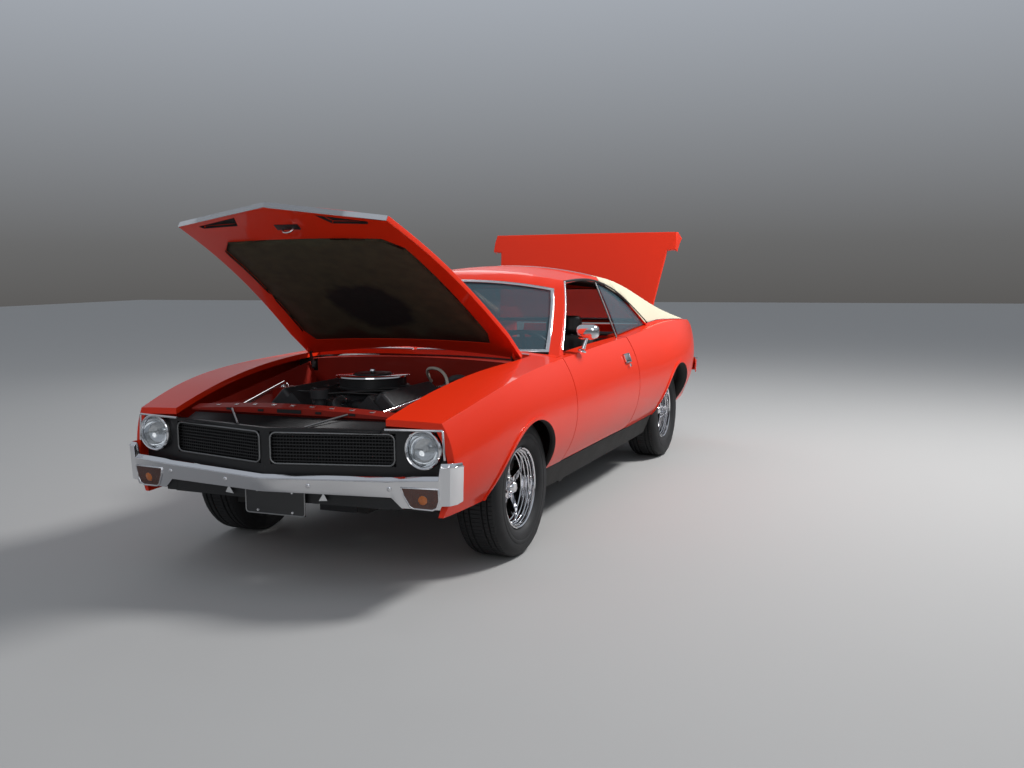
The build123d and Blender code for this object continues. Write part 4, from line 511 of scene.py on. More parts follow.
def rounded(x0, x1, z0, z1, radius, steps=5):
    """A rectangle with round corners, as a list of (x, z)."""
    places = []
    corners = ((x1 - radius, z1 - radius, 0), (x0 + radius, z1 - radius, 90),
               (x0 + radius, z0 + radius, 180), (x1 - radius, z0 + radius, 270))
    for x, z, start in corners:
        for number in range(steps + 1):
            angle = math.radians(start + 90.0 * number / steps)
            places.append((x + radius * math.cos(angle), z + radius * math.sin(angle)))
    return places


def add_plate(form, places, depth):
    """A flat plate: an outline drawn out by a depth, both as places."""
    face = form.faces.new([form.verts.new(spot(*place)) for place in places])
    drawn = bmesh.ops.extrude_face_region(form, geom=[face])
    moved = [item for item in drawn["geom"] if isinstance(item, bmesh.types.BMVert)]
    bmesh.ops.translate(form, verts=moved, vec=Vector(depth) / 1000.0)


def add_block(form, low, high, edge=0.0):
    """A box between two corners, with its edges rounded."""
    middle = (spot(*low) + spot(*high)) / 2
    size = spot(*high) - spot(*low)
    place = Matrix.Translation(middle) @ Matrix.Diagonal((*size, 1.0))
    made = bmesh.ops.create_cube(form, size=1.0, matrix=place)
    if edge:
        edges = {line for vertex in made["verts"] for line in vertex.link_edges}
        bmesh.ops.bevel(form, geom=list(edges), offset=edge / 1000.0, segments=3, profile=0.5,
                        affect="EDGES", material=-1, offset_type="OFFSET")


def add_rod(form, start, end, radius, end_radius=None, sides=16):
    """A round bar or cone between two places."""
    run = spot(*end) - spot(*start)
    place = Matrix.Translation((spot(*start) + spot(*end)) / 2)
    place = place @ run.to_track_quat("Z", "Y").to_matrix().to_4x4()
    top = radius if end_radius is None else end_radius
    bmesh.ops.create_cone(form, cap_ends=True, segments=sides, radius1=radius / 1000.0,
                          radius2=top / 1000.0, depth=run.length, matrix=place)


def add_turned(form, profile, centre, axis, steps=48):
    """A profile of (along, radius) turned fully about an axis through a place."""
    forward = Vector(axis).normalized()
    outward = forward.orthogonal().normalized()
    middle = spot(*centre)
    vertices = [
        form.verts.new(middle + (forward * place + outward * radius) / 1000.0)
        for place, radius in profile
    ]
    edges = [form.edges.new(pair) for pair in zip(vertices, vertices[1:])]
    bmesh.ops.spin(form, geom=vertices + edges, cent=middle, axis=forward, steps=steps,
                   angle=math.tau, use_merge=True)


def both_sides(form):
    """Repeats a form made for the car's left side on its right side."""
    everything = form.verts[:] + form.edges[:] + form.faces[:]
    twin = bmesh.ops.duplicate(form, geom=everything)["geom"]
    points = [item for item in twin if isinstance(item, bmesh.types.BMVert)]
    bmesh.ops.scale(form, verts=points, vec=(-1, 1, 1))


dress("grille", black, 0.0008)
grille_outline = rounded(*GRILLE_SPAN, *GRILLE_RISE, GRILLE_CORNER)
bead("grille_beads", [[(x, nose_y(x) + GRILLE_BEAD_BACK, z) for x, z in grille_outline]], 4.0,
     dull_silver, closed=True)
backing = bmesh.new()
for inner, outer in MESH_SPANS:
    corners = ((inner, MESH_LOW), (outer, MESH_LOW), (outer, MESH_TOP), (inner, MESH_TOP))
    add_plate(backing, [(x, nose_y(x) + MESH_BACK, z) for x, z in corners], (0, 3, 0))
both_sides(backing)
shape_out("grille_backing", backing, mesh_black_and_painted_shade)
fins = bmesh.new()
for number in range(FIN_COUNT):
    x = FIN_START + number * FIN_STEP
    add_block(fins, (x - FIN_HALF, nose_y(x) + FIN_FRONT, FIN_LOW),
              (x + FIN_HALF, nose_y(x) + FIN_BACK, FIN_TOP))
both_sides(fins)
shape_out("grille_fins", fins, black)
bead("nose_strip", [[(x, nose_y(x) - 1, z) for x, z in TOP_STRIP] + STRIP_CORNER], 6.0, chrome)


# Shade sheet: a black sheet of painted shade that fills the recess between grille
# and radiator, with the two bright struts that steady the top of the nose.
SHADE_SHEET = [(0, -862, 690), (505, -776, 690), (505, -690, 722), (0, -690, 722)]
# Black blocks on the support's face paint the shade inside its two slots and its middle opening.
SUPPORT_SLOT_SHADES = [((136, -690, 738), (164, -685, 748)), ((306, -690, 738), (334, -685, 748))]
SUPPORT_MIDDLE_SLOT_SHADE = ((-62, -690, 736), (62, -684, 752))
CLIP_PLACES = [(x, -652) for x in range(-400, 401, 100)]
CLIP_LOW, CLIP_HIGH = Vector((-9, -11, -1)), Vector((9, 9, 2))
NOSE_STRUT = [(170, -826, 704), (300, -692, 744)]
# A black sheet in the recess behind the grille top: painted shade.
shade_sheet = bmesh.new()
add_plate(shade_sheet, SHADE_SHEET, (0, 0, -3))
both_sides(shade_sheet)
shape_out("splash_panel", shade_sheet, mesh_black_and_painted_shade)
slot_shades = bmesh.new()
for low, high in SUPPORT_SLOT_SHADES:
    add_block(slot_shades, low, high)
both_sides(slot_shades)
add_block(slot_shades, *SUPPORT_MIDDLE_SLOT_SHADE)
shape_out("support_slot_shades", slot_shades, mesh_black_and_painted_shade)
clips = bmesh.new()
for place in top_places(surface_of("radiator_support"), CLIP_PLACES, 0.0):
    add_block(clips, Vector(place) + CLIP_LOW, Vector(place) + CLIP_HIGH)
shape_out("support_clips", clips, bright_steel)
bead("nose_struts", [NOSE_STRUT], 5.0, dull_silver)


# Headlamps: sealed round glasses with moulded ribs over a silvered bowl, held
# by a plated ring.
LAMP_PLACE = (690.0, -756.0, 625.0)
LAMP_RING = [(3, 84), (-4, 83), (-8, 79), (-6, 74), (0, 71.5), (6, 72)]
LAMP_BOWL = [(12, 71), (30, 66), (46, 52), (56, 34), (60, 12), (60, 1)]
LAMP_BULB = [(26, 1), (26, 13), (30, 15), (58, 15)]
LAMP_RIB_STEP = 12.0
LAMP_RIB_REACH = 68.0
LAMP_GLASS_RADIUS = 72.0
LAMP_GLASS_CROWN = 15.0
silvered = finish("lamp_silver", (0.70, 0.72, 0.74), 0.07, metal=1.0)
lamp_glass = clear("lamp_glass", (0.60, 0.64, 0.66), 0.90)
dress("headlamp_housings", chrome, 0.002)
dress("headlamp_glass", lamp_glass)
rings, bowls, ribs = bmesh.new(), bmesh.new(), bmesh.new()
add_turned(rings, LAMP_RING, LAMP_PLACE, (0, 1, 0), 40)
add_turned(bowls, LAMP_BOWL, LAMP_PLACE, (0, 1, 0), 32)
add_turned(bowls, LAMP_BULB, LAMP_PLACE, (0, 1, 0), 24)
lamp_x, lamp_y, lamp_z = LAMP_PLACE
for number in range(-5, 6):
    x = number * LAMP_RIB_STEP
    half = 0.9 * math.sqrt(LAMP_RIB_REACH ** 2 - x ** 2)
    rib_y = lamp_y - 5.5 + LAMP_GLASS_CROWN * (x / LAMP_GLASS_RADIUS) ** 2
    add_rod(ribs, (lamp_x + x, rib_y, lamp_z - half), (lamp_x + x, rib_y, lamp_z + half), 1.6,
            sides=6)
for form in (rings, bowls, ribs):
    both_sides(form)
shape_out("lamp_rings", rings, chrome)
shape_out("lamp_bowls", bowls, silvered)
shape_out("lamp_ribs", ribs, lamp_glass)


# Front bumper: a pressed and plated V blade, held by domed bolts to the frame,
# over a black pressed valance whose lower edge is folded to a lip.
VALANCE_LIP = [(0, -800.5, 387), (556, -782.5, 387), (556, -782.5, 371), (0, -800.5, 371)]
VALANCE_END = [(550, -783, 426), (606, -783, 426), (606, -783, 374), (550, -783, 374)]
BUMPER_LINE = [(0, -920, 492), (560, -819, 497), (604, -811, 500), (778, -793, 508),
               (786, -791, 560), (822, -778, 563), (840, -740, 561), (844, -692, 556)]
BUMPER_POINT_Y = -912
BUMPER_SWEEP = 0.18
BOLT_PLACES = (210, 560)
BOLT_Z = 466
BOLT_RADIUS = 0.011
BOLT_FLATNESS = 0.5
dress("front_bumper", chrome, 0.002)
dress("front_valance", black, 0.001)
valance_lip = bmesh.new()
for places in (VALANCE_LIP, VALANCE_END):
    add_plate(valance_lip, places, (0, 5, 0))
both_sides(valance_lip)
shape_out("valance_lip", valance_lip, black)
bead("bumper_line", [BUMPER_LINE], 2.6, chrome)
bolts = bmesh.new()
for x in BOLT_PLACES:
    head = bmesh.ops.create_uvsphere(bolts, u_segments=16, v_segments=8, radius=BOLT_RADIUS)["verts"]
    bmesh.ops.scale(bolts, verts=head, vec=(1, BOLT_FLATNESS, 1))
    bmesh.ops.translate(bolts, verts=head, vec=spot(x, BUMPER_POINT_Y + x * BUMPER_SWEEP, BOLT_Z))
both_sides(bolts)
shape_out("bumper_bolts", bolts, chrome)


# Parking lamps: ribbed amber lenses in plated rims, sunk into the deep ends of
# the bumper, each screwed over a bulb in its socket.
END_FACE = (604.0, -811.0, 500.0)
END_FACE_RUN, END_FACE_FALL = 18.0 / 174.0, 16.5 / 115.0
PARKING_OUTLINE = [(614, 474), (622, 440), (646, 394), (662, 386), (742, 384), (762, 394),
                   (774, 424), (775, 474)]
PARKING_BULB = [(-4, 1), (-3, 14), (1, 24), (6, 28)]
BULB_PLACE = (700, 430)
PARKING_RIBS = range(652, 760, 9)
PARKING_RIB_Z = ((402, 396), (462, 466))
PARKING_LENS_BACK, PARKING_LENS_THICK = 6, 8
amber = finish("amber_lens", (0.07, 0.014, 0.006), 0.10, coat=1.0, drift=0.35, patch=25.0)
bulb_amber = finish("bulb_amber", (0.50, 0.13, 0.02), 0.2, coat=0.8, drift=0.3, patch=30.0)


def bumper_face_y(x, z):
    """The face of the bumper's deep end at one width and height."""
    start_x, start_y, start_z = END_FACE
    return start_y + END_FACE_RUN * (x - start_x) + END_FACE_FALL * (start_z - z)


lenses, bulbs = bmesh.new(), bmesh.new()
lens_back = [(x, bumper_face_y(x, z) + PARKING_LENS_BACK, z) for x, z in PARKING_OUTLINE]
add_plate(lenses, lens_back, (0, -PARKING_LENS_THICK, 0))
bulb_x, bulb_z = BULB_PLACE
add_turned(bulbs, PARKING_BULB, (bulb_x, bumper_face_y(bulb_x, bulb_z) - 1, bulb_z), (0, 1, 0), 28)
both_sides(lenses)
both_sides(bulbs)
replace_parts(shape_out("parking_lenses", lenses, amber), "parking_lamps")
shape_out("parking_bulbs", bulbs, bulb_amber)
bead("parking_rings", [[(x, bumper_face_y(x, z) - 1, z) for x, z in PARKING_OUTLINE]], 4.0,
     chrome, closed=True)
lens_lines = [[(x, bumper_face_y(x, face_z) - 1, z) for face_z, z in PARKING_RIB_Z]
              for x in PARKING_RIBS]
bead("parking_ribs", lens_lines, 1.8, amber)


# Front plate: a blank black sheet in a thin grey frame, hung below the bumper
# and held by two plated screws a side.
PLATE_SPAN = (-148.0, 148.0, 317.0, 427.0)
PLATE_FRAME_SPAN = (-151, 151, 314, 430)
PLATE_Y = -812.5
SCREW_PLACES = [(89, 327), (89, 414)]
SCREW_BACK_Y, SCREW_FRONT_Y = -813, -818
SCREW_RADII = (7, 5)
PLATE_EARS = [(219, -806, 388), (262, -806, 392), (243, -806, 424)]
plate_black = finish("plate_black", (0.010, 0.010, 0.011), 0.3, coat=0.6, drift=0.2)
grey_frame = finish("plate_frame_grey", (0.30, 0.30, 0.30), 0.35, metal=0.6)
blank = bmesh.new()
add_plate(blank, [(x, PLATE_Y, z) for x, z in rounded(*PLATE_SPAN, 12)], (0, -1.5, 0))
shape_out("front_plate", blank, plate_black)
frame_places = [(x, PLATE_Y - 2, z) for x, z in rounded(*PLATE_FRAME_SPAN, 14)]
bead("plate_frame", [frame_places], 3.0, grey_frame, closed=True, mirror=False)
screws = bmesh.new()
for x, z in SCREW_PLACES:
    add_rod(screws, (x, SCREW_BACK_Y, z), (x, SCREW_FRONT_Y, z), *SCREW_RADII)
add_plate(screws, PLATE_EARS, (0, -4, 0))
both_sides(screws)
shape_out("plate_screws", screws, bright_steel)


# Hood underside: a pressed inner frame in body paint around a fibrous pad,
# scorched over the air cleaner, with black painted shade in its slots, a latch and a lip strip.
HOOD_OPEN = 36.2
HOOD_CENTRE = (0.0, 518.3, 1040.7)
HOOD_PAD = [(400, -600), (470, -520), (540, 300), (515, 400)]
HOOD_SLOT = [(210, -818), (425, -770), (415, -752), (245, -752)]
SLOT_WIDER, SLOT_LONGER = 1.04, 1.16
HOOD_LIP = [(0, -906, 714), (528, -787, 720), (528, -787, 746), (0, -906, 741)]
LATCH_LOOP = [(-26, -716, 756), (-26, -716, 738), (0, -716, 728), (26, -716, 738), (26, -716, 756)]
LATCH_PLATE = ((-60, -742, 751), (60, -706, 756), 2)
PAD_THICK = 0.010
PAD_OLIVE = (0.052, 0.048, 0.026)
SCORCH_BLACK = (0.006, 0.006, 0.006, 1.0)
SCORCH_PLACE = (0.0, 70.0, 846.0)
SCORCH_REACH = 0.26
SCORCH_FADE = 0.05
SCORCH_RAGGED = 0.14
# Black for dial faces, also painted shade inside the hood's slots and the exhaust ends.
black_and_painted_hole_shade = finish("black_and_painted_hole_shade", (0.008, 0.008, 0.008), 0.8)


def turned_about(place, degrees):
    """The turn about a line across the car through a place."""
    centre = spot(*place)
    turn = Matrix.Rotation(math.radians(degrees), 4, "X")
    return Matrix.Translation(centre) @ turn @ Matrix.Translation(-centre)


hood_turn = turned_about(HOOD_CENTRE, -HOOD_OPEN)


def hood_layer(name, outline, material, thick, walls=False):
    """A layer on the lower face of the open hood, cut to a convex outline."""
    form = copy_of("hood")
    bmesh.ops.transform(form, matrix=hood_turn.inverted(), verts=form.verts)
    form.normal_update()
    keep_faces(form, lambda face: face.normal.z < (0.3 if walls else -0.6))
    for (x0, y0), (x1, y1) in zip(outline, outline[1:] + outline[:1]):
        cut(form, spot(x0, y0, 0), (y1 - y0, x0 - x1, 0))
    bmesh.ops.transform(form, matrix=hood_turn, verts=form.verts)
    shape_out(name, form, material, "hood", recalculate=False, thick=thick)


def burnt_pad():
    """Olive-brown pressed fibre, scorched black over the air cleaner."""
    made = finish("hood_pad_fibre", PAD_OLIVE, 0.95, drift=0.65, patch=16.0, grain=260.0,
                  bump=0.9)
    parts = made.node_tree.nodes
    join = made.node_tree.links.new
    reach = parts.new("ShaderNodeVectorMath")
    reach.operation = "DISTANCE"
    reach.inputs[1].default_value = hood_turn @ spot(*SCORCH_PLACE)
    uneven = parts.new("ShaderNodeMath")
    uneven.operation = "MULTIPLY_ADD"
    uneven.inputs[1].default_value = SCORCH_RAGGED
    edge = parts.new("ShaderNodeMapRange")
    edge.inputs["From Min"].default_value = SCORCH_REACH
    edge.inputs["From Max"].default_value = SCORCH_REACH + SCORCH_FADE
    shade = parts.new("ShaderNodeMix")
    shade.data_type = "RGBA"
    shade.inputs[6].default_value = SCORCH_BLACK
    base = parts["Principled BSDF"].inputs["Base Color"]
    tinted = base.links[0].from_socket
    join(parts["Texture Coordinate"].outputs["Object"], reach.inputs[0])
    join(clouds(made, 9.0, 6.0), uneven.inputs[0])
    join(reach.outputs["Value"], uneven.inputs[2])
    join(uneven.outputs["Value"], edge.inputs["Value"])
    join(edge.outputs["Result"], shade.inputs[0])
    join(tinted, shade.inputs[7])
    join(shade.outputs[2], base)
    return made


pad_outline = HOOD_PAD + [(-x, y) for x, y in reversed(HOOD_PAD)]
hood_layer("hood_pad", pad_outline, burnt_pad(), PAD_THICK)
middle_x, middle_y = [sum(part) / 4.0 for part in zip(*HOOD_SLOT)]
# The slots are not cut through: a black layer paints the shade seen in each opening.
for side, flip in (("left", 1), ("right", -1)):
    lipped = [(flip * (middle_x + (x - middle_x) * SLOT_WIDER),
               middle_y + (y - middle_y) * SLOT_LONGER) for x, y in HOOD_SLOT][::flip]
    hood_layer("hood_slot_shade_" + side, lipped, black_and_painted_hole_shade, 0.001, walls=True)
lip = bmesh.new()
add_plate(lip, HOOD_LIP, (0, -3, 0))
both_sides(lip)
bmesh.ops.transform(lip, matrix=hood_turn, verts=lip.verts)
shape_out("hood_lip", lip, bright_steel, "hood")
bead("hood_latch", [LATCH_LOOP], 5.0, bright_steel, "hood", mirror=False,
     bent=True, turn=hood_turn)
latch_plate = bmesh.new()
add_block(latch_plate, *LATCH_PLATE)
bmesh.ops.transform(latch_plate, matrix=hood_turn, verts=latch_plate.verts)
shape_out("hood_latch_plate", latch_plate, black, "hood")
dress("hood_arms", black, 0.001)


# Cowl: louvred steel panel welded in ahead of the windshield, with a plated strip
# on its leading edge that breaks in the middle, and two sprung steel wiper arms.
COWL_EDGE_Y = 555
COWL_BOW = 60
COWL_HALF = 640
COWL_BREAK, COWL_STEP = 10, 24
COWL_STRIP = [(x, COWL_EDGE_Y - COWL_BOW * (1 - x / COWL_HALF))
              for x in range(COWL_BREAK, COWL_HALF - 5, COWL_STEP)]
WIPER_ARMS = [[(330, 634, 912), (300, 632, 926), (60, 640, 938), (-240, 640, 944)],
              [(-210, 628, 914), (-240, 628, 930), (-480, 655, 938), (-600, 676, 944)]]
WIPER_BLADES = [[(250, 636, 938), (-200, 634, 950)], [(-300, 640, 944), (-610, 680, 952)]]
bead("cowl_strip", [top_places(surface_of("cowl_panel"), COWL_STRIP, 3.0)], 5.0, chrome)
bead("wiper_arms", WIPER_ARMS, 4.0, bright_steel, mirror=False)
bead("wiper_blades", WIPER_BLADES, 3.5, black, mirror=False)


# Engine: a cast iron V8, bolted to the crossmember, under a black pressed air
# cleaner with a plated lid that a wing nut holds down.
AIR_CLEANER_PLACE = (0, 40, 772)
AIR_CLEANER_LID = [(61, 100), (64.5, 104), (64.5, 176), (62.5, 184), (56, 185), (56, 183)]
AIR_CLEANER_NUT = [(80, 14), (88, 11), (91, 4), (91, 1)]
iron = finish("engine_iron", (0.035, 0.036, 0.038), 0.5, metal=0.3, drift=0.35, patch=18.0,
              grain=350.0, bump=0.5)
dress("engine", iron, 0.003)
dress("air_cleaner", black, 0.002)
lid = bmesh.new()
add_turned(lid, AIR_CLEANER_LID, AIR_CLEANER_PLACE, (0, 0, 1), 64)
add_turned(lid, AIR_CLEANER_NUT, AIR_CLEANER_PLACE, (0, 0, 1), 24)
shape_out("air_cleaner_lid", lid, chrome)


# Hoses: moulded black rubber from the engine to the radiator and a pale rubber
# heater hose, pushed over their stubs under steel bands, and the radiator's cap.
UPPER_HOSE = [(62, -332, 754), (62, -400, 760), (100, -470, 740), (212, -500, 668),
              (215, -584, 652)]
HEATER_HOSE = [(120, 444, 760), (120, 390, 800), (180, 290, 850), (290, 220, 850),
               (360, 160, 800), (372, 120, 742)]
HOSE_CLAMP = [(-6, 20), (-6, 21.5), (6, 21.5), (6, 20)]
HOSE_CLAMP_PLACES = ((62, -350, 755), (215, -570, 653))
RADIATOR_CAP = [(0, 1), (0, 26), (8, 30), (14, 26), (14, 1)]
RADIATOR_CAP_PLACE = (60, -612, 704)
rubber = finish("hose_rubber", (0.02, 0.02, 0.02), 0.6, drift=0.2, patch=30.0, grain=500.0,
                bump=0.3)
hose_white = finish("heater_hose_pale", (0.62, 0.60, 0.52), 0.55, drift=0.12, patch=12.0,
                    grain=400.0, bump=0.3)
upper_hose = bead("upper_hose", [UPPER_HOSE], 19.0, rubber, mirror=False, bent=True)
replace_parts(upper_hose, "hoses")
bead("heater_hose", [HEATER_HOSE], 8.0, hose_white, mirror=False, bent=True)
clamps = bmesh.new()
for place in HOSE_CLAMP_PLACES:
    add_turned(clamps, HOSE_CLAMP, place, (0, 1, 0), 20)
add_turned(clamps, RADIATOR_CAP, RADIATOR_CAP_PLACE, (0, 0, 1), 20)
shape_out("hose_clamps", clamps, bright_steel)


# Plug leads and belts: black rubber cords from the distributor to eight spark
# plugs, and rubber belts run tight round the pulleys ahead of the engine.
FIRST_PLUG_Y, PLUG_STEP = -276, 118
CAP_Z, LEAD_Z, BEND_Z, PLUG_Z = 782, 784, 780, 728
FAN, PUMP, ALTERNATOR, STEERING_PUMP = (0, 430, 88), (0, 570, 66), (182, 640, 50), (-178, 560, 58)
BELT_Y = -441
leads = []
for number in range(4):
    y = FIRST_PLUG_Y + number * PLUG_STEP
    leads.append([(-48 + 8 * number, -346, CAP_Z), (20 + 20 * number, -306, LEAD_Z),
                  (150, y - 40, LEAD_Z), (236, y, BEND_Z), (318, y, PLUG_Z)])
    leads.append([(-84, -350 + 10 * number, CAP_Z), (-118, -306, LEAD_Z),
                  (-170, y - 40, LEAD_Z), (-236, y, BEND_Z), (-318, y, PLUG_Z)])
bead("plug_leads", leads, 4.0, rubber, mirror=False, bent=True)
belts = []
for (x0, z0, r0), (x1, z1, r1) in ((FAN, PUMP), (PUMP, ALTERNATOR), (FAN, STEERING_PUMP)):
    run = Vector((x1 - x0, z1 - z0)).normalized()
    for side in (Vector((-run.y, run.x)), Vector((run.y, -run.x))):
        belts.append([(x0 + side.x * r0, BELT_Y, z0 + side.y * r0),
                      (x1 + side.x * r1, BELT_Y, z1 + side.y * r1)])
bead("fan_belts", belts, 5.0, rubber, mirror=False)


# Battery: a moulded black case with six screw caps and two lead posts under
# clamps, strapped to a tray at the right end of the radiator.
BATTERY_BLOCKS = [((-402, -577, 548), (-252, -393, 700), 5),
                  ((-406, -581, 698), (-248, -389, 716), 4)]
BATTERY_CAPS = [((-327, y, 714), (-327, y, 724), 12) for y in range(-557, -411, 29)]
POST_RODS = [((-280, y, 714), (-280, y, 734), 9) for y in (-560, -410)]
POST_CLAMPS = [((-296, y - 14, 718), (-264, y + 14, 728), 3) for y in (-560, -410)]
case_black = finish("battery_case", (0.014, 0.014, 0.015), 0.35, drift=0.2)
battery, posts = bmesh.new(), bmesh.new()
for low, high, edge in BATTERY_BLOCKS:
    add_block(battery, low, high, edge)
for start, end, radius in BATTERY_CAPS:
    add_rod(battery, start, end, radius)
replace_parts(shape_out("battery", battery, case_black), "bay_equipment")
for rod, clamp in zip(POST_RODS, POST_CLAMPS):
    add_rod(posts, *rod)
    add_block(posts, *clamp)
shape_out("battery_posts", posts, dull_silver)


# Washer bottle: blow-moulded pale plastic with a screw cap, hooked to the left
# apron beside the radiator.
BOTTLE = ((332, -552, 548), (402, -418, 700), 16)
BOTTLE_CAP = ((367, -520, 698), (367, -520, 722), 24)
bottle_white = finish("bottle_white", (0.70, 0.69, 0.62), 0.35, drift=0.08, patch=14.0)
bottle = bmesh.new()
add_block(bottle, *BOTTLE)
add_rod(bottle, *BOTTLE_CAP)
shape_out("washer_bottle", bottle, bottle_white)


# Brake booster: a black pressed steel drum bolted to the firewall, with the
# cast iron master cylinder bolted on in front.
BOOSTER_PLACE = (300, 450, 700)
BOOSTER = [(-120, 1), (-120, 30), (-112, 60), (-88, 84), (-62, 96), (-52, 105), (-44, 105),
           (-40, 98), (-6, 78), (0, 60)]
CYLINDER_BLOCKS = [((268, 180, 692), (332, 332, 742), 10), ((264, 186, 740), (336, 318, 764), 8)]
CYLINDER_SOCKET = ((300, 176, 716), (300, 184, 716), 16)
booster = bmesh.new()
add_turned(booster, BOOSTER, BOOSTER_PLACE, (0, 1, 0), 40)
shape_out("brake_booster", booster, black)
cylinder = bmesh.new()
for low, high, edge in CYLINDER_BLOCKS:
    add_block(cylinder, low, high, edge)
add_rod(cylinder, *CYLINDER_SOCKET)
shape_out("master_cylinder", cylinder, iron)


# Tower braces: plated steel bars that tie the suspension towers to the radiator
# support, each under a cap held by three nuts.
BRACE = ((462, -60, 788), (355, -620, 722), 9)
BRACE_FOOT = ((333, -630, 704), (377, -622, 736), 2)
TOWER_CAP = ((462, -60, 768), (462, -60, 782), 26, 22)
TOWER_NUTS = [((x, y, 768), (x, y, 784), 7) for x, y in ((444, -78), (480, -78), (462, -36))]
braces = bmesh.new()
add_rod(braces, *BRACE)
add_rod(braces, *TOWER_CAP)
add_block(braces, *BRACE_FOOT)
for start, end, radius in TOWER_NUTS:
    add_rod(braces, start, end, radius, sides=6)
both_sides(braces)
shape_out("tower_braces", braces, chrome)


# Wheels: a deep polished barrel with two bright lips, five ribbed spokes, a
# plated cap and five lug nuts, in front of an iron brake drum.
HUB_Z = 325.0
WHEELS = {
    # x and y of the wheel's middle, and the way its outer face looks
    "front_left": (718.0, 0.0, 1), "front_right": (-718.0, 0.0, -1),
    "rear_left": (690.0, 2769.0, 1), "rear_right": (-690.0, 2769.0, -1),
}
BARREL = [(90, 193), (92, 188), (88, 182), (76, 180), (73, 174), (64, 173), (61, 169), (57, 173),
          (46, 172), (43, 168), (39, 171), (26, 169), (23, 165), (16, 168), (-60, 168), (-84, 176),
          (-90, 193), (-84, 193), (-80, 178), (80, 178), (84, 193), (90, 193)]
HUB = [(-8, 1), (-8, 56), (20, 60), (30, 56), (34, 36), (34, 1)]
CAP = [(26, 34), (40, 34), (48, 30), (58, 28), (64, 22), (66, 10), (66, 1)]
DRUM = [(-69, 60), (-69, 127), (-62, 130), (-16, 134), (-10, 128), (-8, 60), (-8, 1)]
SPOKES = 5
SPOKE_OUTLINE = [(-19, 40), (19, 40), (14, 170), (-14, 170)]
SPOKE_BACK, SPOKE_FRONT = 2, 28
SPOKE_RIDGE = 0.004
SPOKE_SLOPE, SPOKE_SUNK = 0.003, -0.009
LUG_CIRCLE = 46
LUG_BACK, LUG_FRONT = 26, 44
LUG_RADII = (10, 9)
wheel_chrome = finish("wheel_chrome", (0.78, 0.78, 0.80), 0.08, metal=1.0, drift=0.05, patch=6.0)
drum_iron = finish("drum_iron", (0.03, 0.028, 0.026), 0.6, metal=0.4, drift=0.3, patch=20.0)


def turn_on_axle(form, profile, wheel, steps):
    """A profile of (outward, radius) turned about a wheel's axle."""
    x, y, side = wheel
    add_turned(form, [(outward * side, radius) for outward, radius in profile], (x, y, HUB_Z),
               (1, 0, 0), steps)


def add_spoke(form, wheel, angle):
    """One spoke: a tapered bar, its front face inset and sunk between two ridges."""
    x, y, side = wheel
    older = set(form.verts)
    face = form.faces.new([form.verts.new(spot(x + SPOKE_BACK * side, y + across, HUB_Z + up))
                           for across, up in SPOKE_OUTLINE[::side]])
    drawn = bmesh.ops.extrude_face_region(form, geom=[face])["geom"]
    moved = [item for item in drawn if isinstance(item, bmesh.types.BMVert)]
    tips = [item for item in drawn if isinstance(item, bmesh.types.BMFace)]
    depth = (SPOKE_FRONT - SPOKE_BACK) * side / 1000.0
    bmesh.ops.translate(form, verts=moved, vec=(depth, 0, 0))
    bmesh.ops.inset_region(form, faces=tips, thickness=SPOKE_RIDGE, use_even_offset=True)
    bmesh.ops.inset_region(form, faces=tips, thickness=SPOKE_SLOPE, depth=SPOKE_SUNK)
    bmesh.ops.rotate(form, verts=[vertex for vertex in form.verts if vertex not in older],
                     cent=spot(0, y, HUB_Z), matrix=Matrix.Rotation(angle, 3, "X"))


def add_lug(form, wheel, angle):
    """One lug nut on its circle round the hub."""
    x, y, side = wheel
    lug_y, lug_z = y + LUG_CIRCLE * math.sin(angle), HUB_Z + LUG_CIRCLE * math.cos(angle)
    add_rod(form, (x + LUG_BACK * side, lug_y, lug_z), (x + LUG_FRONT * side, lug_y, lug_z),
            *LUG_RADII, sides=6)


for place, wheel in WHEELS.items():
    body = "wheel_" + place
    barrel, spokes, drum = bmesh.new(), bmesh.new(), bmesh.new()
    turn_on_axle(barrel, BARREL, wheel, 64)
    piece = shape_out("barrel_" + place, barrel, wheel_chrome, body)
    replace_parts(piece, "rim_" + place)
    for number in range(SPOKES):
        add_spoke(spokes, wheel, math.tau * number / SPOKES)
    turn_on_axle(spokes, HUB, wheel, 40)
    turn_on_axle(spokes, CAP, wheel, 32)
    for number in range(SPOKES):
        add_lug(spokes, wheel, math.tau * (number + 0.5) / SPOKES)
    shape_out("spokes_" + place, spokes, wheel_chrome, body)
    turn_on_axle(drum, DRUM, wheel, 40)
    shape_out("drum_" + place, drum, drum_iron, body)


# Tyres: black rubber moulded over the wheel's lips, with raised rings on the
# sidewall and a tread of five ribs cut into blocks.
SIDEWALL = [(82, 179), (83, 196), (100, 206), (108, 222), (111, 240), (110, 246), (112, 249),
            (112, 262), (110, 265), (111, 284), (105, 302), (96, 314), (84, 320)]
TREAD_RIBS = [(84, 62), (56, 34), (28, -28), (-34, -56), (-62, -84)]
SHOULDER_X = 84
SHOULDER_DROP = 2.5
TREAD_TOP = 321.8
GROOVE_LOW = 314.5
TREAD_STEPS = 96
BLOCK_GAP = 0.0022
BLOCK_RISE = 0.003
BLOCK_WIDTH = 0.015
tread_rubber = finish("tyre_rubber", (0.011, 0.011, 0.012), 0.7, drift=0.25, patch=12.0,
                      grain=300.0, bump=0.3)


def tyre_profile():
    """A tyre's section: sidewall, five ribs with grooves between them, sidewall."""
    profile = list(SIDEWALL)
    for rib in TREAD_RIBS:
        profile += [(x, TREAD_TOP - SHOULDER_DROP * (abs(x) == SHOULDER_X)) for x in rib]
        if rib[1] > -SHOULDER_X:
            profile += [(rib[1] - 1, GROOVE_LOW), (rib[1] - 5, GROOVE_LOW)]
    return profile + [(-x, radius) for x, radius in reversed(SIDEWALL)]


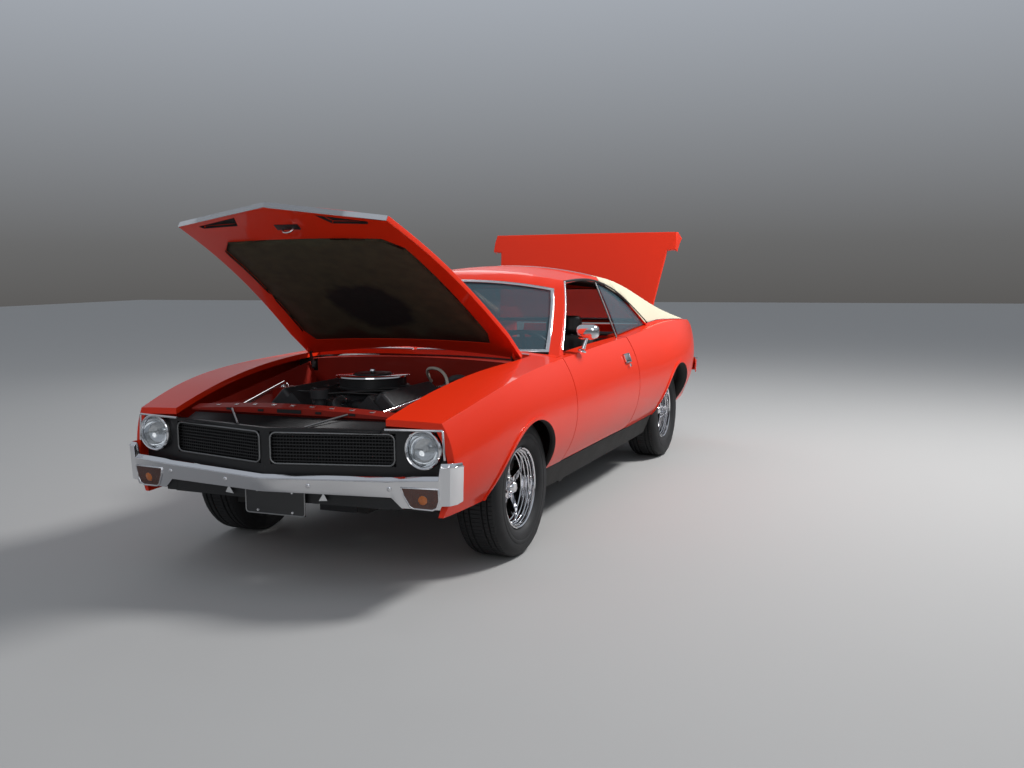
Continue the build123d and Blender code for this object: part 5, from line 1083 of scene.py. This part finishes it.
def cut_blocks(tyre, hub):
    """Parts the ribs of the tread into blocks, each raised a little."""
    blocks = []
    for face in tyre.faces:
        middle = face.calc_center_median() - hub
        wide = max(vertex.co.x for vertex in face.verts) - min(vertex.co.x for vertex in face.verts)
        if math.hypot(middle.y, middle.z) * 1000.0 > TREAD_TOP - 3.5 and wide > BLOCK_WIDTH:
            blocks.append(face)
    bmesh.ops.inset_individual(tyre, faces=blocks, thickness=BLOCK_GAP, depth=0.0,
                               use_even_offset=True)
    for face in blocks:
        middle = face.calc_center_median() - hub
        outward = Vector((0, middle.y, middle.z)).normalized()
        bmesh.ops.translate(tyre, verts=face.verts[:], vec=outward * BLOCK_RISE)


for place, wheel in WHEELS.items():
    tyre = bmesh.new()
    add_turned(tyre, tyre_profile(), (wheel[0], wheel[1], HUB_Z), (1, 0, 0), TREAD_STEPS)
    bmesh.ops.recalc_face_normals(tyre, faces=tyre.faces)
    cut_blocks(tyre, spot(wheel[0], wheel[1], HUB_Z))
    piece = shape_out("tyre_" + place, tyre, tread_rubber, "wheel_" + place)
    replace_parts(piece, "tire_" + place)


# Wheel arches: the painted flange of each fender and quarter panel turns in
# and carries sprayed-on black undercoat on the side that faces the tyre.
ARCHES = {"fender": (-20, 291), "quarter": (2757, 322)}
ARCH_REACH = 0.392
undercoat = finish("undercoat", (0.018, 0.017, 0.016), 0.85, drift=0.3, patch=10.0, grain=160.0,
                   bump=0.6)


def faces_tyre(face, arch):
    """Whether a face of a panel looks at the tyre inside its arch."""
    offset = face.calc_center_median() - spot(0, *arch)
    offset.x = 0.0
    return offset.length < ARCH_REACH and face.normal.dot(-offset.normalized()) > 0.6


for panel, arch in ARCHES.items():
    for node in (panel + "_left", panel + "_right"):
        liner = copy_of(node)
        keep_faces(liner, lambda face: faces_tyre(face, arch))
        shape_out("arch_liner_" + node, liner, undercoat, recalculate=False,
                  thick=0.001)


# Underside and running gear: pressed floor, rails, axle and arms under a sprayed
# black undercoat, and steel exhaust pipes, left bare, hung below the floor.
pipe_steel = finish("exhaust_steel", (0.30, 0.27, 0.24), 0.45, metal=0.9, drift=0.35, patch=8.0)
for node in ("underbody", "fuel_tank", "rear_axle", "front_suspension", "knuckle_left",
             "knuckle_right", "rails", "sills", "wheelhouses"):
    dress(node, undercoat, 0.002)
dress("exhaust", pipe_steel)


# Cabin lining: black stretched headlining under the roof, black boards on the
# inner quarter panels, and a padded card with an arm rest, a window crank and
# an inner handle on each door.
LINING_REAR_Y = 2960.0
LINING_THICK = 0.0015
DOOR_CARD_TOP = 880.0
DOOR_CARD_THICK = 0.004
ARM_REST = ((704, 1180, 700), (770, 1520, 738), 12)
CRANK_RODS = [
    # start, end, radius: window crank's boss, arm and knob, and the inner handle's boss
    ((798, 1060, 690), (776, 1060, 690), 17), ((778, 1060, 690), (772, 1140, 650), 6),
    ((778, 1140, 650), (748, 1140, 650), 11), ((792, 1560, 770), (776, 1560, 770), 14),
]
INNER_HANDLE = ((772, 1470, 764), (778, 1566, 776), 2)
lining = finish("lining_black", (0.020, 0.019, 0.019), 0.75, drift=0.2, patch=8.0, grain=600.0,
                bump=0.4)


def inside_cabin(face):
    """Whether a face of the roof or a quarter panel looks into the cabin."""
    middle = face.calc_center_median() * 1000.0
    inward = Vector((-middle.x, 0.0, CABIN_MIDDLE_Z - middle.z)).normalized()
    return face.normal.dot(inward) > 0.30


def on_side(form, flip):
    """A form made for the car's left side, moved across if it is for the right."""
    bmesh.ops.scale(form, verts=form.verts, vec=(flip, 1, 1))
    return form


for node in ("roof", "quarter_left", "quarter_right"):
    skin = copy_of(node)
    cut(skin, spot(0, LINING_REAR_Y, 0), (0, 1, 0))
    keep_faces(skin, inside_cabin)
    shape_out("lining_" + node, skin, lining, recalculate=False,
              thick=LINING_THICK)
for side, flip in (("left", 1), ("right", -1)):
    door = "door_" + side
    card = copy_of(door)
    cut(card, spot(0, 0, DOOR_CARD_TOP), (0, 0, 1))
    keep_faces(card, lambda face: face.normal.x * flip < -0.85)
    shape_out("door_card_" + side, card, lining, door, recalculate=False,
              thick=DOOR_CARD_THICK)
    pull, crank = bmesh.new(), bmesh.new()
    add_block(pull, *ARM_REST)
    shape_out("arm_rest_" + side, on_side(pull, flip), lining, door)
    for start, end, radius in CRANK_RODS:
        add_rod(crank, start, end, radius)
    add_block(crank, *INNER_HANDLE)
    shape_out("door_cranks_" + side, on_side(crank, flip), chrome, door)


# Seats: foam cushions under pleated black vinyl on a steel frame, two shells
# in front and a bench behind, with a board behind the bench.
PLEAT = 0.052
PLEAT_DEPTH = 0.007
SWELL = 0.018
ROUNDING = 0.75
PLEATED_WIDTH, PLEATED_LENGTH = 0.80, 0.86
FRONT_SEAT_X, REAR_SEAT_X = 375, 262
# Place along and up, size, lean in degrees, and whether the used face looks up.
FRONT_CUSHION = ((1462, 352), (450, 480, 160), 5, True)
FRONT_BACK = ((1716, 660), (440, 130, 540), -16, False)
HEAD_REST = ((1806, 984), (230, 80, 120), -12, False)
REAR_CUSHION = ((2278, 428), (515, 420, 150), 4, True)
REAR_BACK = ((2560, 640), (515, 140, 420), -24, False)
SEAT_LEGS = [((x, y, 240), (x, y, 300), 12) for x in (205, 545) for y in (1270, 1650)]
HEAD_REST_STEMS = [((x, 1778, 900), (x, 1800, 970), 6) for x in (315, 435)]
PARCEL_SHELF = ((-560, 2640, 860), (560, 2900, 872), 4)
seat_black = finish("seat_black", (0.018, 0.017, 0.017), 0.42, drift=0.15, patch=6.0,
                    grain=500.0, bump=0.35)


def round_off(place, half, radius):
    """A place on a box, moved onto the same box with round edges."""
    core = Vector([max(-reach + radius, min(reach - radius, part))
                   for part, reach in zip(place, half)])
    out = place - core
    return core + out.normalized() * radius if out.length > radius else place


def swell(across, length, x):
    """How far a used face stands out at one place: full in the middle, with pleats."""
    rise = SWELL * (1 - across ** 2)
    if abs(across) < PLEATED_WIDTH and abs(length) < PLEATED_LENGTH:
        rise += PLEAT_DEPTH * abs(math.cos(math.pi * x / PLEAT))
    return rise


def cushion(name, x, centre, size, lean, face_up):
    """One padded block with round edges and pleats on its used face."""
    half = Vector(size) / 2000.0
    upward = Vector((0, 0, 1)) if face_up else Vector((0, -1, 0))
    form = bmesh.new()
    bmesh.ops.create_cube(form, size=2.0)
    bmesh.ops.subdivide_edges(form, edges=form.edges[:], cuts=21, use_grid_fill=True)
    for vertex in form.verts:
        across, length = vertex.co.x, vertex.co.y if face_up else vertex.co.z
        used = vertex.co.dot(upward) > 0.95
        place = Vector([part * reach for part, reach in zip(vertex.co, half)])
        vertex.co = round_off(place, half, min(half) * ROUNDING)
        if used:
            vertex.co += upward * swell(across, length, place.x)
    turn = Matrix.Rotation(math.radians(lean), 4, "X")
    placed = Matrix.Translation(spot(x, *centre)) @ turn
    bmesh.ops.transform(form, matrix=placed, verts=form.verts)
    piece = shape_out(name, form, seat_black)
    smooth = piece.modifiers.new("smooth", "SUBSURF")
    smooth.levels = 1
    smooth.render_levels = 1
    return piece


for side, flip in (("left", 1), ("right", -1)):
    x = FRONT_SEAT_X * flip
    seat = cushion("front_cushion_" + side, x, *FRONT_CUSHION)
    back = cushion("front_back_" + side, x, *FRONT_BACK)
    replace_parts(seat, "front_seats")
    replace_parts(back, "front_seats")
    cushion("head_rest_" + side, x, *HEAD_REST)
for side, flip in (("left", 1), ("right", -1)):
    x = REAR_SEAT_X * flip
    bench = cushion("rear_cushion_" + side, x, *REAR_CUSHION)
    bench_back = cushion("rear_back_" + side, x, *REAR_BACK)
    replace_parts(bench, "rear_seat")
    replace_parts(bench_back, "rear_seat")
legs = bmesh.new()
for start, end, radius in SEAT_LEGS + HEAD_REST_STEMS:
    add_rod(legs, start, end, radius)
both_sides(legs)
shape_out("seat_legs", legs, bright_steel)
shelf = bmesh.new()
add_block(shelf, *PARCEL_SHELF)
shape_out("parcel_shelf", shelf, lining)


# Dashboard: padded black pad over a dark panel with round dials in bright
# rings, and a three-spoke wheel with a chrome horn button.
DIALS = ((250, 30), (330, 46), (440, 46), (520, 30), (0, 26))
DIAL_Y, DIAL_Z = 899, 770
DIAL_AXIS = (0, 1, 0.35)
GLOVE_LID = ((-520, 892, 722), (-200, 902, 800), 3)
COLUMN_AXIS = (0, 1, 0.28)
HORN_PLACE = (365, 1192, 798)
HORN_BUTTON = [(-4, 34), (4, 34), (10, 28), (14, 16), (15, 1)]
dress("dashboard", seat_black, 0.006)
dress("steering_wheel", black, 0.002)
dials, dial_faces = bmesh.new(), bmesh.new()
for x, radius in DIALS:
    add_turned(dials, [(-2, radius - 6), (-2, radius), (4, radius), (10, radius - 2)],
               (x, DIAL_Y, DIAL_Z), DIAL_AXIS, 32)
    add_rod(dial_faces, (x, DIAL_Y - 4, DIAL_Z - 2), (x, DIAL_Y, DIAL_Z), radius - 3, sides=32)
shape_out("dial_rings", dials, chrome)
shape_out("dial_faces", dial_faces, black_and_painted_hole_shade)
glove = bmesh.new()
add_block(glove, *GLOVE_LID)
shape_out("glove_lid", glove, black)
button = bmesh.new()
add_turned(button, HORN_BUTTON, HORN_PLACE, COLUMN_AXIS, 32)
shape_out("horn_button", button, chrome, "steering_wheel")


# Door mirror: a plated cast head, squared and cut off flat for its glass, on a
# short stem and a round foot screwed to the driver's door.
MIRROR_HALF = (0.062, 0.036, 0.041)
MIRROR_SQUARING = 0.62
MIRROR_PLACE = (850, 872, 1006)
MIRROR_CUT = 0.018
MIRROR_STEM = ((846, 868, 972), (830, 852, 915), 8, 11)
MIRROR_FOOT = [(0, 24), (5, 23), (9, 14), (10, 1)]
FOOT_PLACE, FOOT_AXIS = (824, 850, 902), (0.35, 0, 1)
mirror = bmesh.new()
bmesh.ops.create_uvsphere(mirror, u_segments=32, v_segments=20, radius=1.0)
for vertex in mirror.verts:
    vertex.co = Vector([math.copysign(abs(part) ** MIRROR_SQUARING, part) * half
                        for part, half in zip(vertex.co, MIRROR_HALF)])
cut(mirror, (0, MIRROR_CUT, 0), (0, 1, 0))
bmesh.ops.contextual_create(mirror, geom=[line for line in mirror.edges if line.is_boundary])
bmesh.ops.translate(mirror, verts=mirror.verts, vec=spot(*MIRROR_PLACE))
add_rod(mirror, *MIRROR_STEM)
add_turned(mirror, MIRROR_FOOT, FOOT_PLACE, FOOT_AXIS, 24)
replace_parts(shape_out("mirror_head", mirror, chrome, "door_left"), "door_mirror")


# Door handles: a square plated frame round a dark well, with a paddle that is
# lifted and a lock below it, screwed on from inside each door.
HANDLE_LEAN = 19.0
HANDLE_PLACE = (857.0, 1594.0, 802.0)
HANDLE_BARS = [
    # low and high corner from the handle's middle: four sides of the frame, and the paddle
    ((-4, -52, 21), (8, 52, 29)), ((-4, -52, -29), (8, 52, -21)), ((-4, -52, -29), (8, -44, 29)),
    ((-4, 44, -29), (8, 52, 29)), ((1, -40, -14), (7, 40, 21)),
]
HANDLE_WELL = ((-4, -48, -25), (1, 48, 25))
HANDLE_LOCK = [(0, 11), (5, 10), (6, 1)]
LOCK_OFFSET = Vector((6, 2, -46))
middle = Vector(HANDLE_PLACE)
handle_turn = (Matrix.Translation(spot(*middle))
               @ Matrix.Rotation(math.radians(-HANDLE_LEAN), 4, "Y")
               @ Matrix.Translation(-spot(*middle)))
for side, flip in (("left", 1), ("right", -1)):
    door = "door_" + side
    handle, well = bmesh.new(), bmesh.new()
    for low, high in HANDLE_BARS:
        add_block(handle, middle + Vector(low), middle + Vector(high), 1.5)
    add_block(well, middle + Vector(HANDLE_WELL[0]), middle + Vector(HANDLE_WELL[1]))
    add_turned(handle, HANDLE_LOCK, middle + LOCK_OFFSET, (1, 0, 0), 20)
    for form in (handle, well):
        bmesh.ops.transform(form, matrix=handle_turn, verts=form.verts)
    shape_out("handle_" + side, on_side(handle, flip), chrome, door)
    shape_out("handle_recess_" + side, on_side(well, flip), black_and_painted_hole_shade, door)


# Tail lamps: wide red lenses with moulded ribs in plated frames, screwed on at
# each end of a satin black band with the plated fuel cap in its middle.
LENS_INNER, LENS_OUTER, LENS_LOW, LENS_TOP = 330, 660, 716.0, 812.0
LENS_RIB_STEP = 12
LENS_RIB_INSET = 6
BAND_HALF, BAND_LOW, BAND_TOP = 320, 722, 806
BAND_SPANS = 12
FUEL_CAP = [(0, 58), (8, 58), (12, 54), (14, 44), (10, 38), (11, 12), (14, 6), (14, 1)]
BEHIND_ALL = 4300
red_lens = finish("red_lens", (0.26, 0.006, 0.005), 0.10, coat=1.0, drift=0.25, patch=25.0)
tail = surface_of("tail_panel", "tail_lamps")


def tail_place(x, z, proud):
    """The place on the tail's rear face at one width and height."""
    hit = tail.ray_cast(spot(x, BEHIND_ALL, z), Vector((0, -1, 0)))[0]
    return (x, hit.y * 1000.0 - FRONT_AXLE_Y + proud, z)


dress("tail_lamps", red_lens, 0.003)
lens_outline = ([(x, LENS_TOP) for x in range(LENS_INNER, LENS_OUTER, 30)]
                + [(LENS_OUTER, LENS_TOP), (LENS_OUTER, LENS_LOW)]
                + [(x, LENS_LOW) for x in range(LENS_OUTER, LENS_INNER, -30)]
                + [(LENS_INNER, LENS_LOW)])
bead("tail_lamp_frames", [[tail_place(x, z, 3) for x, z in lens_outline]], 5.0, chrome,
     closed=True)
rib_lines = [
    [tail_place(x, LENS_LOW + LENS_RIB_INSET, 1), tail_place(x, LENS_TOP - LENS_RIB_INSET, 1)]
    for x in range(LENS_INNER + LENS_RIB_STEP, LENS_OUTER - LENS_RIB_INSET, LENS_RIB_STEP)
]
bead("tail_lamp_ribs", rib_lines, 2.0, red_lens)
band = bmesh.new()
edges = [-BAND_HALF + 2 * BAND_HALF * number / BAND_SPANS for number in range(BAND_SPANS + 1)]
for x0, x1 in zip(edges, edges[1:]):
    corners = ((x0, BAND_LOW), (x1, BAND_LOW), (x1, BAND_TOP), (x0, BAND_TOP))
    add_plate(band, [tail_place(x, z, 0.5) for x, z in corners], (0, 3, 0))
shape_out("tail_band", band, black)
fuel_cap = bmesh.new()
add_turned(fuel_cap, FUEL_CAP, tail_place(0, 764, 2), (0, 1, 0), 40)
shape_out("fuel_cap", fuel_cap, chrome)


# Tail corners: pressed steel fillers in body paint, welded in between the tail
# panel and the ends of the quarter panels.
TAIL_CORNER = [
    # height, inner width and length, outer length at the quarter panel
    (440, 636, 3764, 3590), (480, 656, 3758, 3663), (560, 676, 3753, 3727),
    (640, 696, 3747, 3728), (700, 698, 3745, 3728), (760, 698, 3730, 3728),
]
CORNER_OUT = 758.0
corners = bmesh.new()
for (z0, in0, y0, out0), (z1, in1, y1, out1) in zip(TAIL_CORNER, TAIL_CORNER[1:]):
    add_plate(corners, [(in0, y0, z0), (CORNER_OUT, out0, z0), (CORNER_OUT, out1, z1),
                        (in1, y1, z1)], (0, -6, 0))
both_sides(corners)
shape_out("tail_corners", corners, paint)


# Rear bumper: a plated blade with a blank plate in a grey frame, held to it by
# two steel brackets, and bright steel ends clamped over the exhaust pipes, each
# closed by a black disk of painted shade and soot for the pipe's hollow inside.
REAR_PLATE_SPAN = (-150, 150, 372, 486)
REAR_FRAME_SPAN = (-152, 152, 370, 488)
REAR_PLATE_Y = 3874
PLATE_BRACKET = ((76, 3840, 470), (104, 3876, 530))
EXHAUST_PLACE = (400, 3752, 300)
EXHAUST_END = [(-70, 26), (-70, 31), (20, 34), (22, 32), (20, 29), (-66, 26)]
# A black disk in each pipe end: painted shade and soot of the hollow inside.
EXHAUST_BORE_SHADE = ((400, 3784, 300), (400, 3797, 300), 23)
dress("rear_bumper", chrome, 0.004)
rear_plate = bmesh.new()
add_plate(rear_plate, [(x, REAR_PLATE_Y, z) for x, z in rounded(*REAR_PLATE_SPAN, 12)], (0, 3, 0))
shape_out("rear_plate", rear_plate, plate_black)
frame_places = [(x, REAR_PLATE_Y + 4, z) for x, z in rounded(*REAR_FRAME_SPAN, 13)]
bead("rear_plate_frame", [frame_places], 3.0, grey_frame, closed=True,
     mirror=False)
brackets, bore_shades = bmesh.new(), bmesh.new()
add_block(brackets, *PLATE_BRACKET)
add_turned(brackets, EXHAUST_END, EXHAUST_PLACE, (0, 1, 0), 32)
add_rod(bore_shades, *EXHAUST_BORE_SHADE)
both_sides(brackets)
both_sides(bore_shades)
shape_out("exhaust_bores", bore_shades, black_and_painted_hole_shade)
shape_out("tail_brackets", brackets, bright_steel)


# Trunk: a black ribbed rubber mat laid loose on the steel floor, and a black
# steel latch screwed to the inside of the lid at its rear edge.
MAT = ((-500, 3110, 442), (500, 3660, 446))
MAT_RIBS = [((x, 3130, 445), (x + 12, 3640, 449)) for x in range(-480, 480, 41)]
LID_OPEN = 70.0
LID_HINGE = (0.0, 3031.0, 957.0)
LATCH_BLOCK = ((-40, 3668, 892), (40, 3712, 904), 3)
LATCH_RODS = [((-16, 3700, 874), (16, 3700, 874), 5), ((-16, 3700, 872), (-16, 3700, 896), 5),
              ((16, 3700, 872), (16, 3700, 896), 5)]
mat = bmesh.new()
add_block(mat, *MAT)
for low, high in MAT_RIBS:
    add_block(mat, low, high)
shape_out("trunk_mat", mat, rubber)
lid_latch = bmesh.new()
add_block(lid_latch, *LATCH_BLOCK)
for start, end, radius in LATCH_RODS:
    add_rod(lid_latch, start, end, radius)
bmesh.ops.transform(lid_latch, matrix=turned_about(LID_HINGE, LID_OPEN), verts=lid_latch.verts)
shape_out("lid_latch", lid_latch, black, "trunk_lid")


low, high = cad_box
